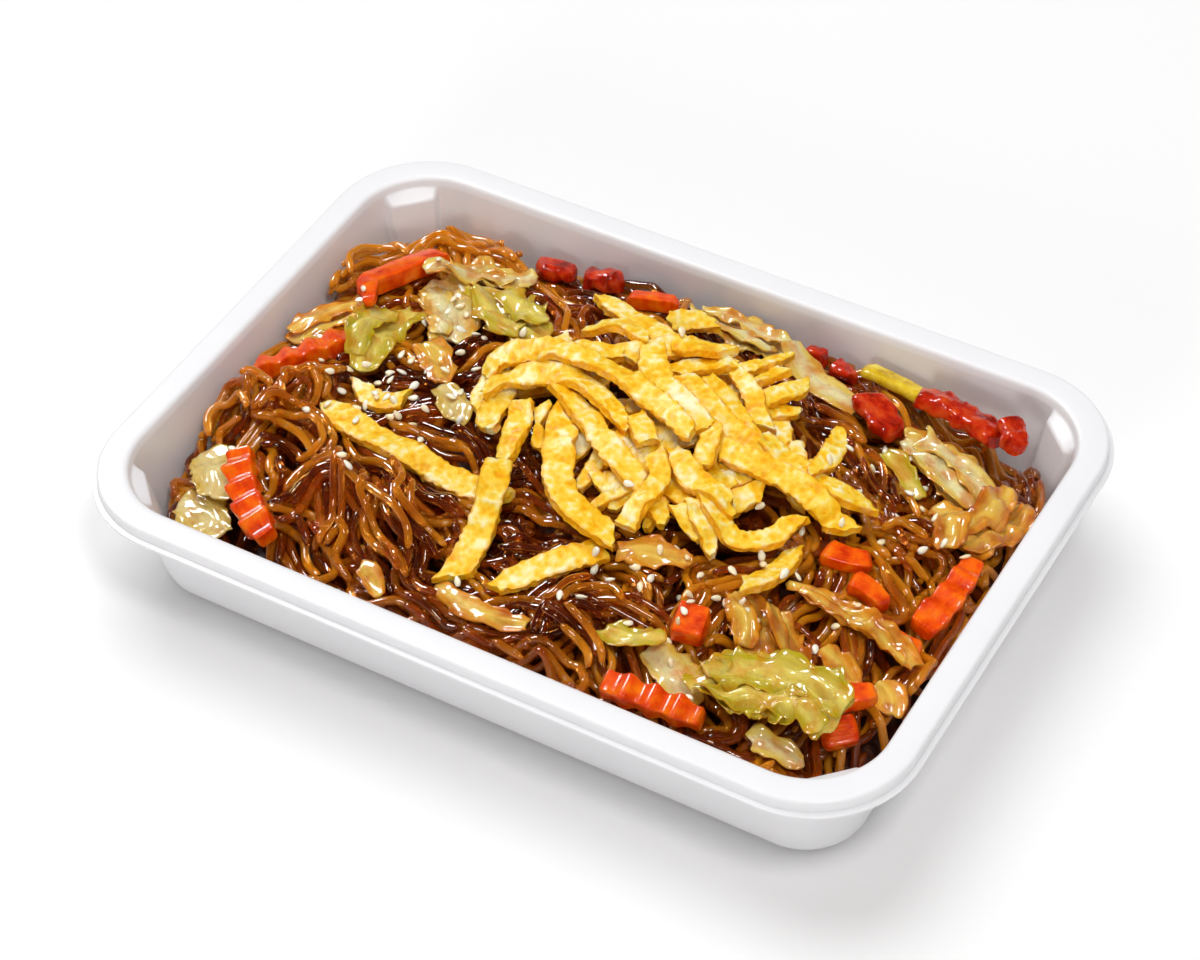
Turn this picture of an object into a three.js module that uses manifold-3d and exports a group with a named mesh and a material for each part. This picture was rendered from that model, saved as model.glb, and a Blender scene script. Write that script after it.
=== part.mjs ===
// Noodle takeaway box: a white plastic tray with a rolled rim, heaped with stir-fried
// noodles, shredded omelette, crinkle-cut carrot, pepper and cabbage, and sesame seeds.
// Millimetres, +Z up. The origin is the middle of the tray's base, and X is its long side.
import * as THREE from 'three';
import { mergeVertices } from 'three/addons/utils/BufferGeometryUtils.js';
import Module from 'manifold-3d';

const wasm = await Module();
wasm.setup();

// Tray
const trayLength = 230;
const trayWidth = 161.5;
const trayHeight = 38;
const cornerRadius = 27.6;
const radiusLossPerInset = 0.85;
const lipOut = 1.4;
const lipDrop = 3.8;
const rimFlat = 7.4;
const wallInsetTop = 8.0;
const wallInsetBottom = 13.2;
const wallThickness = 0.85;
const floorThickness = 1.0;
const lugWidth = 15.4;
const lugStep = 1.9;
const lugTop = 34;

// Food heap, before its toppings
const heapPeak = 36;
const heapFall = 10;
const heapHalfLength = 98;
const heapHalfWidth = 70;
const heapSteepness = 1.1;
const gap = 0.35;
const sheetSag = 0.4;
const settlePasses = 40;

// Noodles and sesame
const noodleDiameter = 2.6;
const noodleCount = 15;
const noodleReach = 40;
const traceStep = 2;
const noodleSides = 5;
const noodleSteps = 17;
const seedSize = new THREE.Vector3(3.3, 2.0, 1.2);
const seedCount = 22;

// Omelette
const eggCentre = new THREE.Vector2(14, 12);
const eggCoreRadii = new THREE.Vector2(44, 30);
const eggCoreHeight = 10;
const eggThickness = 2.4;
const eggWidth = 7.4;

const { degToRad, lerp, clamp } = THREE.MathUtils;

// A repeatable stream of numbers from 0 to 1.
function seededRandom(seed) {
  let state = seed;
  return () => {
    state = (state + 0x6d2b79f5) | 0;
    let mixed = Math.imul(state ^ (state >>> 15), 1 | state);
    mixed = (mixed + Math.imul(mixed ^ (mixed >>> 7), 61 | mixed)) ^ mixed;
    return ((mixed ^ (mixed >>> 14)) >>> 0) / 4294967296;
  };
}

// Closed bodies from rings, sheets and booleans

function geometryFrom(points, triangles) {
  const geometry = new THREE.BufferGeometry();
  const values = points.flatMap((p) => [p.x, p.y, p.z]);
  geometry.setAttribute('position', new THREE.Float32BufferAttribute(values, 3));
  geometry.setIndex(triangles);
  geometry.computeVertexNormals();
  return geometry;
}

// Joins rings of equal count, anticlockwise from above, and closes both ends with a fan.
function loftRings(rings) {
  const count = rings[0].length;
  const points = rings.flat();
  const triangles = [];
  for (let i = 0; i + 1 < rings.length; i += 1) {
    for (let j = 0; j < count; j += 1) {
      const next = (j + 1) % count;
      const a = i * count + j;
      const b = i * count + next;
      triangles.push(a, b, b + count, a, b + count, a + count);
    }
  }
  const last = (rings.length - 1) * count;
  const firstMiddle = points.push(middleOf(rings[0])) - 1;
  const lastMiddle = points.push(middleOf(rings.at(-1))) - 1;
  for (let j = 0; j < count; j += 1) {
    const next = (j + 1) % count;
    triangles.push(firstMiddle, next, j);
    triangles.push(lastMiddle, last + j, last + next);
  }
  return geometryFrom(points, triangles);
}

function middleOf(ring) {
  const middle = new THREE.Vector3();
  ring.forEach((p) => middle.add(p));
  return middle.divideScalar(ring.length);
}

// Triangles of one face of a grid of rows and columns, alike on both faces of a sheet.
function gridTriangles(rows, columns) {
  const triangles = [];
  for (let i = 0; i + 1 < rows; i += 1) {
    for (let j = 0; j + 1 < columns; j += 1) {
      const a = i * columns + j;
      const b = a + columns;
      triangles.push([a, b, b + 1], [a, b + 1, a + 1]);
    }
  }
  return triangles;
}

// A thin closed sheet over a grid of underside points, each with its own thickness.
function closeSheet(under, rows, columns, thicknessAt) {
  const count = under.length;
  const over = under.map((p, k) => new THREE.Vector3(p.x, p.y, p.z + thicknessAt(k)));
  const triangles = [];
  for (const [a, b, c] of gridTriangles(rows, columns)) {
    triangles.push(a, c, b, a + count, b + count, c + count);
  }
  const rim = [];
  for (let i = 0; i < rows - 1; i += 1) rim.push(i * columns);
  for (let j = 0; j < columns - 1; j += 1) rim.push((rows - 1) * columns + j);
  for (let i = rows - 1; i > 0; i -= 1) rim.push(i * columns + columns - 1);
  for (let j = columns - 1; j > 0; j -= 1) rim.push(j);
  rim.forEach((a, k) => {
    const b = rim[(k + 1) % rim.length];
    triangles.push(a, b, b + count, a, b + count, a + count);
  });
  return geometryFrom([...under, ...over], triangles);
}

function toManifold(geometry) {
  const bare = geometry.clone();
  bare.deleteAttribute('normal');
  bare.deleteAttribute('uv');
  const merged = mergeVertices(bare, 1e-4);
  return new wasm.Manifold(new wasm.Mesh({
    numProp: 3,
    vertProperties: new Float32Array(merged.attributes.position.array),
    triVerts: new Uint32Array(merged.index.array),
  }));
}

// Fuses closed bodies. Loose scraps are dropped and sealed hollows are filled.
function fuse(geometries) {
  let solid = toManifold(geometries[0]);
  for (const geometry of geometries.slice(1)) solid = solid.add(toManifold(geometry));
  const largest = solid.decompose().sort((a, b) => b.volume() - a.volume())[0];
  const mesh = largest.getMesh();
  const fused = new THREE.BufferGeometry();
  fused.setAttribute('position', new THREE.Float32BufferAttribute(mesh.vertProperties, 3));
  fused.setIndex([...mesh.triVerts]);
  fused.computeVertexNormals();
  return fused;
}

// Relief: heights over a grid of square cells, for laying one piece on another

const cell = 1;
const reliefHalfLength = 112;
const reliefHalfWidth = 78;
const reliefColumns = 2 * reliefHalfLength / cell + 1;
const reliefRows = 2 * reliefHalfWidth / cell + 1;
const edgeReach = 0.75 * cell;

function newRelief(heightAt) {
  const relief = new Float32Array(reliefColumns * reliefRows);
  for (let k = 0; k < relief.length; k += 1) {
    const [x, y] = cellMiddle(k);
    relief[k] = heightAt(x, y);
  }
  return relief;
}

function cellMiddle(k) {
  const column = k % reliefColumns;
  const row = Math.floor(k / reliefColumns);
  return [column * cell - reliefHalfLength, row * cell - reliefHalfWidth];
}

function cellAt(x, y) {
  const column = clamp(Math.round((x + reliefHalfLength) / cell), 0, reliefColumns - 1);
  const row = clamp(Math.round((y + reliefHalfWidth) / cell), 0, reliefRows - 1);
  return row * reliefColumns + column;
}

// Calls visit(cell, height, weights) for each cell under a triangle or just beside it.
function overCells(a, b, c, visit) {
  const area = (b.x - a.x) * (c.y - a.y) - (c.x - a.x) * (b.y - a.y);
  if (Math.abs(area) < 1e-3) return;
  const size = Math.abs(area);
  const sides = [
    Math.hypot(c.x - b.x, c.y - b.y),
    Math.hypot(a.x - c.x, a.y - c.y),
    Math.hypot(b.x - a.x, b.y - a.y),
  ];
  const lowX = Math.ceil((Math.min(a.x, b.x, c.x) - edgeReach) / cell) * cell;
  const highX = Math.max(a.x, b.x, c.x) + edgeReach;
  const lowY = Math.ceil((Math.min(a.y, b.y, c.y) - edgeReach) / cell) * cell;
  const highY = Math.max(a.y, b.y, c.y) + edgeReach;
  for (let x = lowX; x <= highX; x += cell) {
    for (let y = lowY; y <= highY; y += cell) {
      const wa = ((b.x - x) * (c.y - y) - (c.x - x) * (b.y - y)) / area;
      const wb = ((c.x - x) * (a.y - y) - (a.x - x) * (c.y - y)) / area;
      const raw = [wa, wb, 1 - wa - wb];
      if (raw.some((w, k) => -w * size / sides[k] > edgeReach)) continue;
      const inside = raw.map((w) => Math.max(0, w));
      const total = inside[0] + inside[1] + inside[2];
      const weights = inside.map((w) => w / total);
      visit(cellAt(x, y), weights[0] * a.z + weights[1] * b.z + weights[2] * c.z, weights);
    }
  }
}

function overGeometry(geometry, visit) {
  const position = geometry.attributes.position;
  const corner = (k) => new THREE.Vector3().fromBufferAttribute(position, geometry.index.getX(k));
  for (let k = 0; k < geometry.index.count; k += 3) {
    overCells(corner(k), corner(k + 1), corner(k + 2), visit);
  }
}

// Tray outline at an inset from the rim's side, with or without the corner lugs

const plainRing = { lug: false, clearance: 0, arcSteps: 2, panelSteps: 3, sideSteps: [1, 1] };

function trayRing(inset, z, options) {
  const { lug, clearance, arcSteps, panelSteps, sideSteps } = { ...plainRing, ...options };
  const radius = cornerRadius - radiusLossPerInset * inset;
  const half = Math.asin((lugWidth / 2 + clearance) / radius);
  const start = Math.PI / 4 - half;
  const panelRadius = radius * Math.cos(half) - lugStep;
  const cornerX = trayLength / 2 - inset - radius;
  const cornerY = trayWidth / 2 - inset - radius;
  const corner = [];
  for (let i = 0; i <= arcSteps; i += 1) corner.push([start * i / arcSteps, radius]);
  const panelStart = start + degToRad(1);
  for (let i = 0; i <= panelSteps; i += 1) {
    const angle = lerp(panelStart, Math.PI / 2 - panelStart, i / panelSteps);
    corner.push([angle, lug ? panelRadius / Math.cos(angle - Math.PI / 4) : radius]);
  }
  for (let i = 0; i <= arcSteps; i += 1) corner.push([Math.PI / 2 - start + start * i / arcSteps, radius]);
  const ring = [];
  [[1, 1], [-1, 1], [-1, -1], [1, -1]].forEach(([sideX, sideY], quarter) => {
    const turn = quarter * Math.PI / 2;
    for (const [angle, reach] of corner) {
      ring.push(new THREE.Vector3(
        sideX * cornerX + reach * Math.cos(angle + turn),
        sideY * cornerY + reach * Math.sin(angle + turn),
        z,
      ));
    }
    const steps = sideSteps[quarter % 2];
    const from = ring.at(-1).clone();
    const to = quarter % 2 === 0
      ? new THREE.Vector3(-from.x, from.y, z)
      : new THREE.Vector3(from.x, -from.y, z);
    for (let i = 1; i < steps; i += 1) ring.push(from.clone().lerp(to, i / steps));
  });
  return ring;
}

function wallInset(z) {
  return lerp(wallInsetBottom, wallInsetTop, (z - 5) / (trayHeight - 6));
}

function makeTray() {
  const lipZ = trayHeight - lipDrop;
  const underRim = trayHeight - wallThickness * 1.3;
  const outerTop = wallInset(trayHeight - 2.4) - wallThickness;
  const profile = [
    [15.6, 0, false],
    [13.2, 0.8, false],
    [wallInset(3) - wallThickness, 3, false],
    [outerTop, trayHeight - 2.4, false],
    [1.3, underRim, false],
    [1.0, lipZ - 0.3, false],
    [-lipOut + 0.2, lipZ - 0.4, false],
    [-lipOut, lipZ, false],
    [-lipOut + 0.2, lipZ + 0.4, false],
    [0, lipZ + 0.6, false],
    [0, trayHeight - 0.8, false],
    [0.35, trayHeight - 0.2, false],
    [1.1, trayHeight, false],
    [rimFlat - 0.8, trayHeight, false],
    [rimFlat + 0.1, trayHeight - 0.3, false],
    [wallInsetTop, trayHeight - 1.1, false],
    [wallInset(lugTop + 0.2), lugTop + 0.2, false],
    [wallInset(lugTop - 0.1), lugTop - 0.1, true],
    [wallInsetBottom, 5, true],
    [wallInsetBottom + 1, 2.4, true],
    [wallInsetBottom + 3.6, floorThickness, true],
  ];
  return loftRings(profile.map(([inset, z, lug]) => trayRing(inset, z, { lug })));
}

// Bare heap of noodles, up to the uneven height that the toppings lie on

function heapHeight(x, y) {
  const spread = (x / heapHalfLength) ** 2 + (y / heapHalfWidth) ** 2;
  const waves = 0.7 * Math.sin(x / 9 + 0.6 * Math.sin(y / 11)) * Math.cos(y / 8 + 1.2)
    + 0.5 * Math.sin(x / 4.7 - y / 6.1);
  return heapPeak - heapFall * spread ** heapSteepness + waves;
}

function makeHeap() {
  const clearance = 1.3 * gap;
  const options = { lug: true, clearance, arcSteps: 1, panelSteps: 2, sideSteps: [8, 5] };
  const ringAt = (inset, z) => trayRing(inset + clearance, z, options);
  const brim = ringAt(wallInset(22), 0);
  brim.forEach((p) => {
    p.z = Math.max(15, heapHeight(p.x, p.y));
    const fitted = 1 - (wallInset(p.z) - wallInset(22)) / (trayLength / 2);
    p.x *= fitted;
    p.y *= fitted;
  });
  const rings = [
    ringAt(wallInsetBottom + 3.9, floorThickness + gap),
    ringAt(wallInsetBottom, 5),
    brim,
  ];
  for (const share of [0.94, 0.84, 0.73, 0.61, 0.48, 0.32, 0.12]) {
    rings.push(brim.map((p) => {
      const point = new THREE.Vector3(p.x * share, p.y * share, 0);
      point.z = heapHeight(point.x, point.y);
      return point;
    }));
  }
  return loftRings(rings);
}

// Where the pieces lie: the tops of what is laid so far, and the lowest underside over the heap

const heap = makeHeap();
const laidTop = newRelief(() => 0);
overGeometry(heap, (k, z) => {
  laidTop[k] = Math.max(laidTop[k], z);
});
const bareTop = laidTop.slice();
const lowestCover = newRelief(() => Infinity);

function recordPiece(geometry) {
  overGeometry(geometry, (k, z) => {
    laidTop[k] = Math.max(laidTop[k], z);
    if (z < lowestCover[k]) lowestCover[k] = z;
  });
}

// Keeps a point of a topping inside the tray's wall and off its corner lugs.
function keepInside(x, y, margin = gap) {
  const halfX = trayLength / 2 - wallInset(17) - margin;
  const halfY = trayWidth / 2 - wallInset(17) - margin;
  const round = 30;
  let px = clamp(x, -halfX, halfX);
  let py = clamp(y, -halfY, halfY);
  const dx = Math.abs(px) - (halfX - round);
  const dy = Math.abs(py) - (halfY - round);
  if (dx > 0 && dy > 0 && Math.hypot(dx, dy) > round) {
    const back = round / Math.hypot(dx, dy);
    px = Math.sign(px) * (halfX - round + dx * back);
    py = Math.sign(py) * (halfY - round + dy * back);
  }
  return [px, py];
}

// Raises the points of an underside until no cell of the ground below shows through it.
function settle(points, triangles, groundAt) {
  for (let pass = 0; pass < settlePasses; pass += 1) {
    let worst = 0;
    for (const [a, b, c] of triangles) {
      overCells(points[a], points[b], points[c], (k, z, weights) => {
        const lack = groundAt(k) - z;
        if (lack <= 0) return;
        worst = Math.max(worst, lack);
        const share = lack / (weights[0] ** 2 + weights[1] ** 2 + weights[2] ** 2);
        [a, b, c].forEach((index, corner) => {
          points[index].z += share * weights[corner];
        });
      });
    }
    if (worst < 0.01) return;
  }
}

// Raises the points beside a high one, so that a sheet hangs over what it lies on like a tent.
function ease(points, rows, columns, sag) {
  for (let pass = 0; pass < 3; pass += 1) {
    const before = points.map((p) => p.z);
    points.forEach((p, k) => {
      const row = Math.floor(k / columns);
      const column = k % columns;
      const beside = [];
      if (row > 0) beside.push(before[k - columns]);
      if (row + 1 < rows) beside.push(before[k + columns]);
      if (column > 0) beside.push(before[k - 1]);
      if (column + 1 < columns) beside.push(before[k + 1]);
      const mean = beside.reduce((sum, z) => sum + z, 0) / beside.length;
      p.z = Math.max(p.z, mean - sag);
    });
  }
}

// A centre line from one point to another in plan, bowed sideways to the left of its way.
function bowedLine(from, to, bow) {
  const start = new THREE.Vector2(...from);
  const end = new THREE.Vector2(...to);
  const side = new THREE.Vector2(start.y - end.y, end.x - start.x).normalize();
  const middle = start.clone().add(end).multiplyScalar(0.5).addScaledVector(side, 2 * bow);
  return new THREE.QuadraticBezierCurve(start, middle, end);
}

// Lays a sheet along a line, with edges that curl up and ripples from end to end.
function laySheet(sheet, groundAt) {
  const { line, width, thickness, rows, columns, profile, seed } = sheet;
  const { ripple = 0, curl = 0, sag = sheetSag } = sheet;
  const random = seededRandom(seed);
  const under = [];
  for (let i = 0; i < rows; i += 1) {
    const t = i / (rows - 1);
    const centre = line.getPointAt(t);
    const along = line.getTangentAt(t);
    const half = width / 2 * profile(t);
    for (let j = 0; j < columns; j += 1) {
      const s = 2 * j / (columns - 1) - 1;
      const jitter = 1 + 0.16 * (random() - 0.5);
      const [x, y] = keepInside(centre.x - along.y * s * half * jitter, centre.y + along.x * s * half * jitter);
      const start = groundAt(cellAt(x, y));
      under.push(new THREE.Vector3(x, y, start));
    }
  }
  settle(under, gridTriangles(rows, columns), groundAt);
  ease(under, rows, columns, sag);
  under.forEach((p, k) => {
    const t = Math.floor(k / columns) / (rows - 1);
    const s = 2 * (k % columns) / (columns - 1) - 1;
    p.z += curl * s ** 2 + ripple * (0.5 + 0.5 * Math.sin(t * 14 + s * 2.5 + seed));
  });
  return closeSheet(under, rows, columns, (k) => thickness * (0.9 + 0.2 * ((k * 7 + seed) % 5) / 4));
}

const overLaid = (k) => laidTop[k] + gap;
const roundEnds = (t) => 0.62 + 0.38 * Math.sin(Math.PI * clamp(t, 0.03, 0.97)) ** 0.5;
const leafShape = (t) => 0.3 + 0.7 * Math.sin(Math.PI * clamp(t * 0.94 + 0.03, 0, 1)) ** 0.7;

// Rigid lumps are lofted from six-sided sections, then dropped on what lies below.

function lumpGeometry({ line, width, thickness, ridge = 0, ridgePitch = 4.4, taper = 1, steps = 8 }) {
  const rings = [];
  const length = line.getLength();
  for (let i = 0; i <= steps; i += 1) {
    const t = i / steps;
    const centre = line.getPointAt(t);
    const along = line.getTangentAt(t);
    const end = Math.min(1, 0.72 + 2.4 * Math.min(t, 1 - t));
    const half = width / 2 * lerp(1, taper, t) * end;
    const wave = ridge * Math.cos(2 * Math.PI * t * length / ridgePitch);
    const section = [[0.8, 0], [1, 0.5], [0.72, 1], [-0.72, 1], [-1, 0.5], [-0.8, 0]];
    rings.push(section.map(([s, h]) => new THREE.Vector3(
      centre.x - along.y * s * (half + wave * 0.5),
      centre.y + along.x * s * (half + wave * 0.5),
      h * thickness * end + (h === 1 ? wave : 0),
    )));
  }
  return loftSections(rings);
}

// Joins sections that follow a line and closes both ends flat.
function loftSections(rings) {
  const count = rings[0].length;
  const points = rings.flat();
  const triangles = [];
  for (let i = 0; i + 1 < rings.length; i += 1) {
    for (let j = 0; j < count; j += 1) {
      const next = (j + 1) % count;
      const a = i * count + j;
      const b = i * count + next;
      triangles.push(a, b + count, a + count, a, b, b + count);
    }
  }
  const last = (rings.length - 1) * count;
  for (let j = 1; j + 1 < count; j += 1) {
    triangles.push(0, j + 1, j);
    triangles.push(last, last + j, last + j + 1);
  }
  return geometryFrom(points, triangles);
}

// Tilts a lump with the heap below it and drops it until it just clears what lies there.
function dropLump(geometry) {
  geometry.computeBoundingBox();
  const centre = geometry.boundingBox.getCenter(new THREE.Vector3());
  const span = 6; // half the distance over which the heap's slope is taken
  const slopeX = (heapHeight(centre.x + span, centre.y) - heapHeight(centre.x - span, centre.y)) / (2 * span);
  const slopeY = (heapHeight(centre.x, centre.y + span) - heapHeight(centre.x, centre.y - span)) / (2 * span);
  const normal = new THREE.Vector3(-slopeX, -slopeY, 1).normalize();
  const tilt = new THREE.Quaternion().setFromUnitVectors(new THREE.Vector3(0, 0, 1), normal);
  geometry.translate(-centre.x, -centre.y, 0);
  geometry.applyQuaternion(tilt);
  geometry.translate(centre.x, centre.y, 0);
  const underside = new Map();
  overGeometry(geometry, (k, z) => {
    underside.set(k, Math.min(z, underside.get(k) ?? Infinity));
  });
  const rises = [...underside].map(([k, z]) => overLaid(k) - z);
  geometry.translate(0, 0, Math.max(...rises));
  return geometry;
}

// Finishes

const finish = (color, roughness) => new THREE.MeshStandardMaterial({ color, roughness, metalness: 0 });
const finishes = {
  plastic: finish(0xf4f4f2, 0.35),
  noodle: finish(0x9a5f24, 0.3),
  egg: finish(0xf0c23c, 0.6),
  carrot: finish(0xee7a12, 0.4),
  redPepper: finish(0xb3240f, 0.25),
  yellowPepper: finish(0xd8cf4a, 0.3),
  paleLeaf: finish(0xdfe0b4, 0.4),
  greenLeaf: finish(0xa9c65a, 0.4),
  amberLeaf: finish(0xc08a3a, 0.3),
  onion: finish(0xeee6cf, 0.35),
};

const box = new THREE.Group();

function addPiece(name, geometry, material) {
  const piece = new THREE.Mesh(geometry, finishes[material]);
  piece.name = name;
  box.add(piece);
}

addPiece('tray', makeTray(), 'plastic');

// Toppings in the order in which they lie, the lowest first. A leaf is a thin wavy sheet, a
// lump a rigid cut piece, and a strip a band of omelette that lies apart from the mound.

const toppings = [];

function leaf(name, material, from, to, { bow = 2, width, ripple = 2 }) {
  toppings.push({ name, material, build: (seed) => {
    const line = bowedLine(from, to, bow);
    return laySheet({
      line,
      width,
      thickness: 1.1,
      rows: line.getLength() > 24 ? 7 : 5,
      columns: width > 8 ? 4 : 3,
      profile: leafShape,
      ripple,
      curl: 0.6,
      seed,
    }, overLaid);
  } });
}

function lump(name, material, from, to, { bow = 0, width, thickness, ridge = 0, taper = 0.8, steps = 3 }) {
  toppings.push({ name, material, build: () => {
    const line = bowedLine(from, to, bow);
    return dropLump(lumpGeometry({ line, width, thickness, ridge, taper, steps }));
  } });
}

function strip(name, from, to, { bow, width = 8, steps }) {
  toppings.push({ name, material: 'egg', build: (seed) => laySheet({
    line: bowedLine(from, to, bow),
    width,
    thickness: eggThickness,
    rows: steps + 1,
    columns: 3,
    profile: roundEnds,
    curl: 0.5,
    seed,
  }, overLaid) });
}

// Along the left wall and in the back left corner
lump('carrot_crinkle_left', 'carrot', [-81, 10], [-100.5, -15], {
  width: 8.5, thickness: 5, ridge: 0.7, taper: 0.45, steps: 10,
});
leaf('cabbage_amber_left', 'amberLeaf', [-99, 4], [-86, 24], { width: 13 });
lump('carrot_stick_back', 'carrot', [-91, 26], [-80, 52], { width: 7.5, thickness: 5, taper: 0.9, steps: 5 });
leaf('cabbage_green_left', 'greenLeaf', [-74, 27], [-73, -1], { bow: -3, width: 13, ripple: 2.5 });
lump('carrot_chip', 'carrot', [-87, 26], [-82, 17], { width: 4.5, thickness: 2.5 });
leaf('cabbage_white_left', 'paleLeaf', [-77, 41], [-58, 19], { bow: 3, width: 12 });
leaf('cabbage_green_back_left', 'greenLeaf', [-60, 43], [-35, 31], { bow: -3, width: 14, ripple: 3 });
leaf('cabbage_ruffle_left', 'paleLeaf', [-78, 38], [-53, 54], { bow: 3, width: 9, ripple: 3 });
leaf('cabbage_small_left', 'amberLeaf', [-64, 15], [-51, 3], { width: 7 });

// Front left corner
leaf('onion_corner_low', 'onion', [-94, -57], [-77, -62], { bow: 1, width: 11 });
leaf('onion_corner', 'onion', [-98, -40], [-85, -55], { width: 14 });
lump('carrot_crinkle_corner', 'carrot', [-84, -41], [-61, -63], {
  bow: -2, width: 8, thickness: 5, ridge: 0.8, taper: 0.95, steps: 11,
});
leaf('cabbage_front_bit', 'amberLeaf', [-37, -59], [-28, -64], { bow: 1, width: 6, ripple: 1 });

// Back wall
lump('pepper_back_left', 'redPepper', [-56, 60], [-46, 63.5], { bow: 1, width: 8, thickness: 5 });
lump('pepper_back', 'redPepper', [-42, 62], [-31, 63.5], { bow: 1, width: 7.5, thickness: 6 });
lump('carrot_behind', 'carrot', [-27, 60], [-13, 64], { width: 5, thickness: 4 });
leaf('cabbage_back', 'paleLeaf', [-8, 61], [24, 59], { width: 12, ripple: 2.5 });
lump('pepper_bit_back', 'redPepper', [24, 66], [31, 65.5], { width: 5, thickness: 4 });
lump('pepper_bit_mid', 'redPepper', [33, 64.5], [41, 62.5], { width: 6, thickness: 4 });
leaf('cabbage_rib_back', 'paleLeaf', [23, 61], [48, 51], { bow: -2, width: 9.5, ripple: 1 });

// Back right corner and right wall
lump('pepper_yellow', 'yellowPepper', [42, 64], [65, 63], { bow: 1, width: 7, thickness: 3.5, steps: 5 });
lump('pepper_dark', 'redPepper', [48, 55], [61, 47], { bow: -1, width: 10, thickness: 4, taper: 0.9 });
lump('pepper_long', 'redPepper', [61, 58], [86, 53], {
  bow: 2, width: 9, thickness: 5, ridge: 0.5, taper: 0.9, steps: 7,
});
lump('pepper_bright', 'redPepper', [86, 58], [92, 49], { bow: 1, width: 8, thickness: 5 });
leaf('onion_right', 'onion', [63, 49], [71, 49], { bow: 1, width: 6, ripple: 1 });
leaf('cabbage_right_fold', 'paleLeaf', [65, 43], [90, 36], { bow: 2, width: 13, ripple: 3 });
leaf('cabbage_right_green', 'greenLeaf', [62, 37], [76, 29], { bow: 1, width: 5, ripple: 1 });
leaf('cabbage_right_ruffle', 'amberLeaf', [90, 20], [97, 45], { bow: -3, width: 13, ripple: 3.5 });
leaf('cabbage_right_low', 'amberLeaf', [82, 27], [91, 14], { width: 7 });
lump('carrot_low_right', 'carrot', [87, -17], [98, -15], { width: 6, thickness: 3.5 });
lump('carrot_slice_right', 'carrot', [95, -10], [97, 17], {
  bow: -1, width: 8.5, thickness: 4, ridge: 0.6, taper: 0.7, steps: 9,
});
lump('carrot_mid_right', 'carrot', [64, -2], [76, 2], { bow: -1, width: 6.5, thickness: 4 });
lump('carrot_mid_right_low', 'carrot', [74, -7], [85, -9.5], { bow: 1, width: 6, thickness: 4 });
leaf('ribbon_amber_right', 'amberLeaf', [63, -16], [101, -23], { bow: 2, width: 6.5 });

// Front right corner
leaf('cabbage_amber_right', 'amberLeaf', [93, -29], [100, -35], { bow: 1, width: 8, ripple: 1 });
leaf('cabbage_amber_mid', 'amberLeaf', [53, -25], [65, -41], { width: 10, ripple: 2.5 });
leaf('cabbage_amber_ruffle', 'amberLeaf', [64, -25], [76, -36], { bow: -1, width: 9, ripple: 3 });
leaf('cabbage_pale_front', 'paleLeaf', [41, -50], [56, -59], { width: 11, ripple: 1.5 });
leaf('cabbage_green_front', 'greenLeaf', [28, -50], [44, -48], { bow: -1, width: 8 });
lump('carrot_block', 'carrot', [43, -41], [52, -39], { width: 9, thickness: 7, taper: 0.9 });
lump('carrot_crinkle_front', 'carrot', [37, -64], [63, -62], {
  width: 7, thickness: 5.5, ridge: 0.8, taper: 0.85, steps: 11,
});
leaf('cabbage_small_right', 'amberLeaf', [78, -28], [88, -35], { bow: 1, width: 8 });
lump('carrot_round', 'carrot', [88, -49], [95, -43], { width: 8, thickness: 4, taper: 0.9 });
lump('carrot_wedge', 'carrot', [87, -42], [96, -35], { width: 7, thickness: 5, taper: 0.6 });
leaf('cabbage_corner_under', 'paleLeaf', [74, -60], [87, -57], { bow: 1, width: 7, ripple: 1 });
leaf('cabbage_corner_big', 'greenLeaf', [58, -58], [93, -52], { bow: 8, width: 17, ripple: 3.5 });

// Middle of the front, and beside the mound
leaf('ribbon_amber_front', 'amberLeaf', [-15, -56], [12, -57], { bow: -2, width: 6, ripple: 1 });
leaf('cabbage_under_egg', 'amberLeaf', [20, -29], [38, -24], { bow: 1, width: 8 });
leaf('onion_by_egg', 'onion', [-50, 1], [-39, -9], { width: 6, ripple: 1.5 });
strip('egg_left_curl', [-71, -4], [-56, -6], { bow: -4, width: 6, steps: 3 });
strip('egg_left_long', [-75, -15], [-13, -27], { bow: -3, steps: 8 });
strip('egg_left_cross', [-19, -20], [-13, -53], { bow: 2, width: 7.5, steps: 5 });
strip('egg_front', [-1, -51], [17, -29], { bow: 1, steps: 4 });
strip('egg_right_short', [55, -27], [58, -6], { bow: -2, steps: 4 });

toppings.forEach(({ name, material, build }, index) => {
  const geometry = build(index + 3);
  recordPiece(geometry);
  addPiece(name, geometry, material);
});

// Mound of omelette strips: its own core with the strips that show fused on
const eggOwn = newRelief(() => -Infinity);

function makeEggCore() {
  const rows = 7;
  const columns = 7;
  const under = [];
  for (let i = 0; i < rows; i += 1) {
    for (let j = 0; j < columns; j += 1) {
      const u = 2 * i / (rows - 1) - 1;
      const v = 2 * j / (columns - 1) - 1;
      const x = eggCentre.x + eggCoreRadii.x * u * Math.sqrt(1 - v * v / 2);
      const y = eggCentre.y + eggCoreRadii.y * v * Math.sqrt(1 - u * u / 2);
      under.push(new THREE.Vector3(x, y, overLaid(cellAt(x, y))));
    }
  }
  settle(under, gridTriangles(rows, columns), overLaid);
  return closeSheet(under, rows, columns, (k) => {
    const p = under[k];
    const spread = ((p.x - eggCentre.x) / eggCoreRadii.x) ** 2 + ((p.y - eggCentre.y) / eggCoreRadii.y) ** 2;
    return 1.5 + eggCoreHeight * Math.max(0, 1 - spread) ** 0.6;
  });
}

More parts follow.
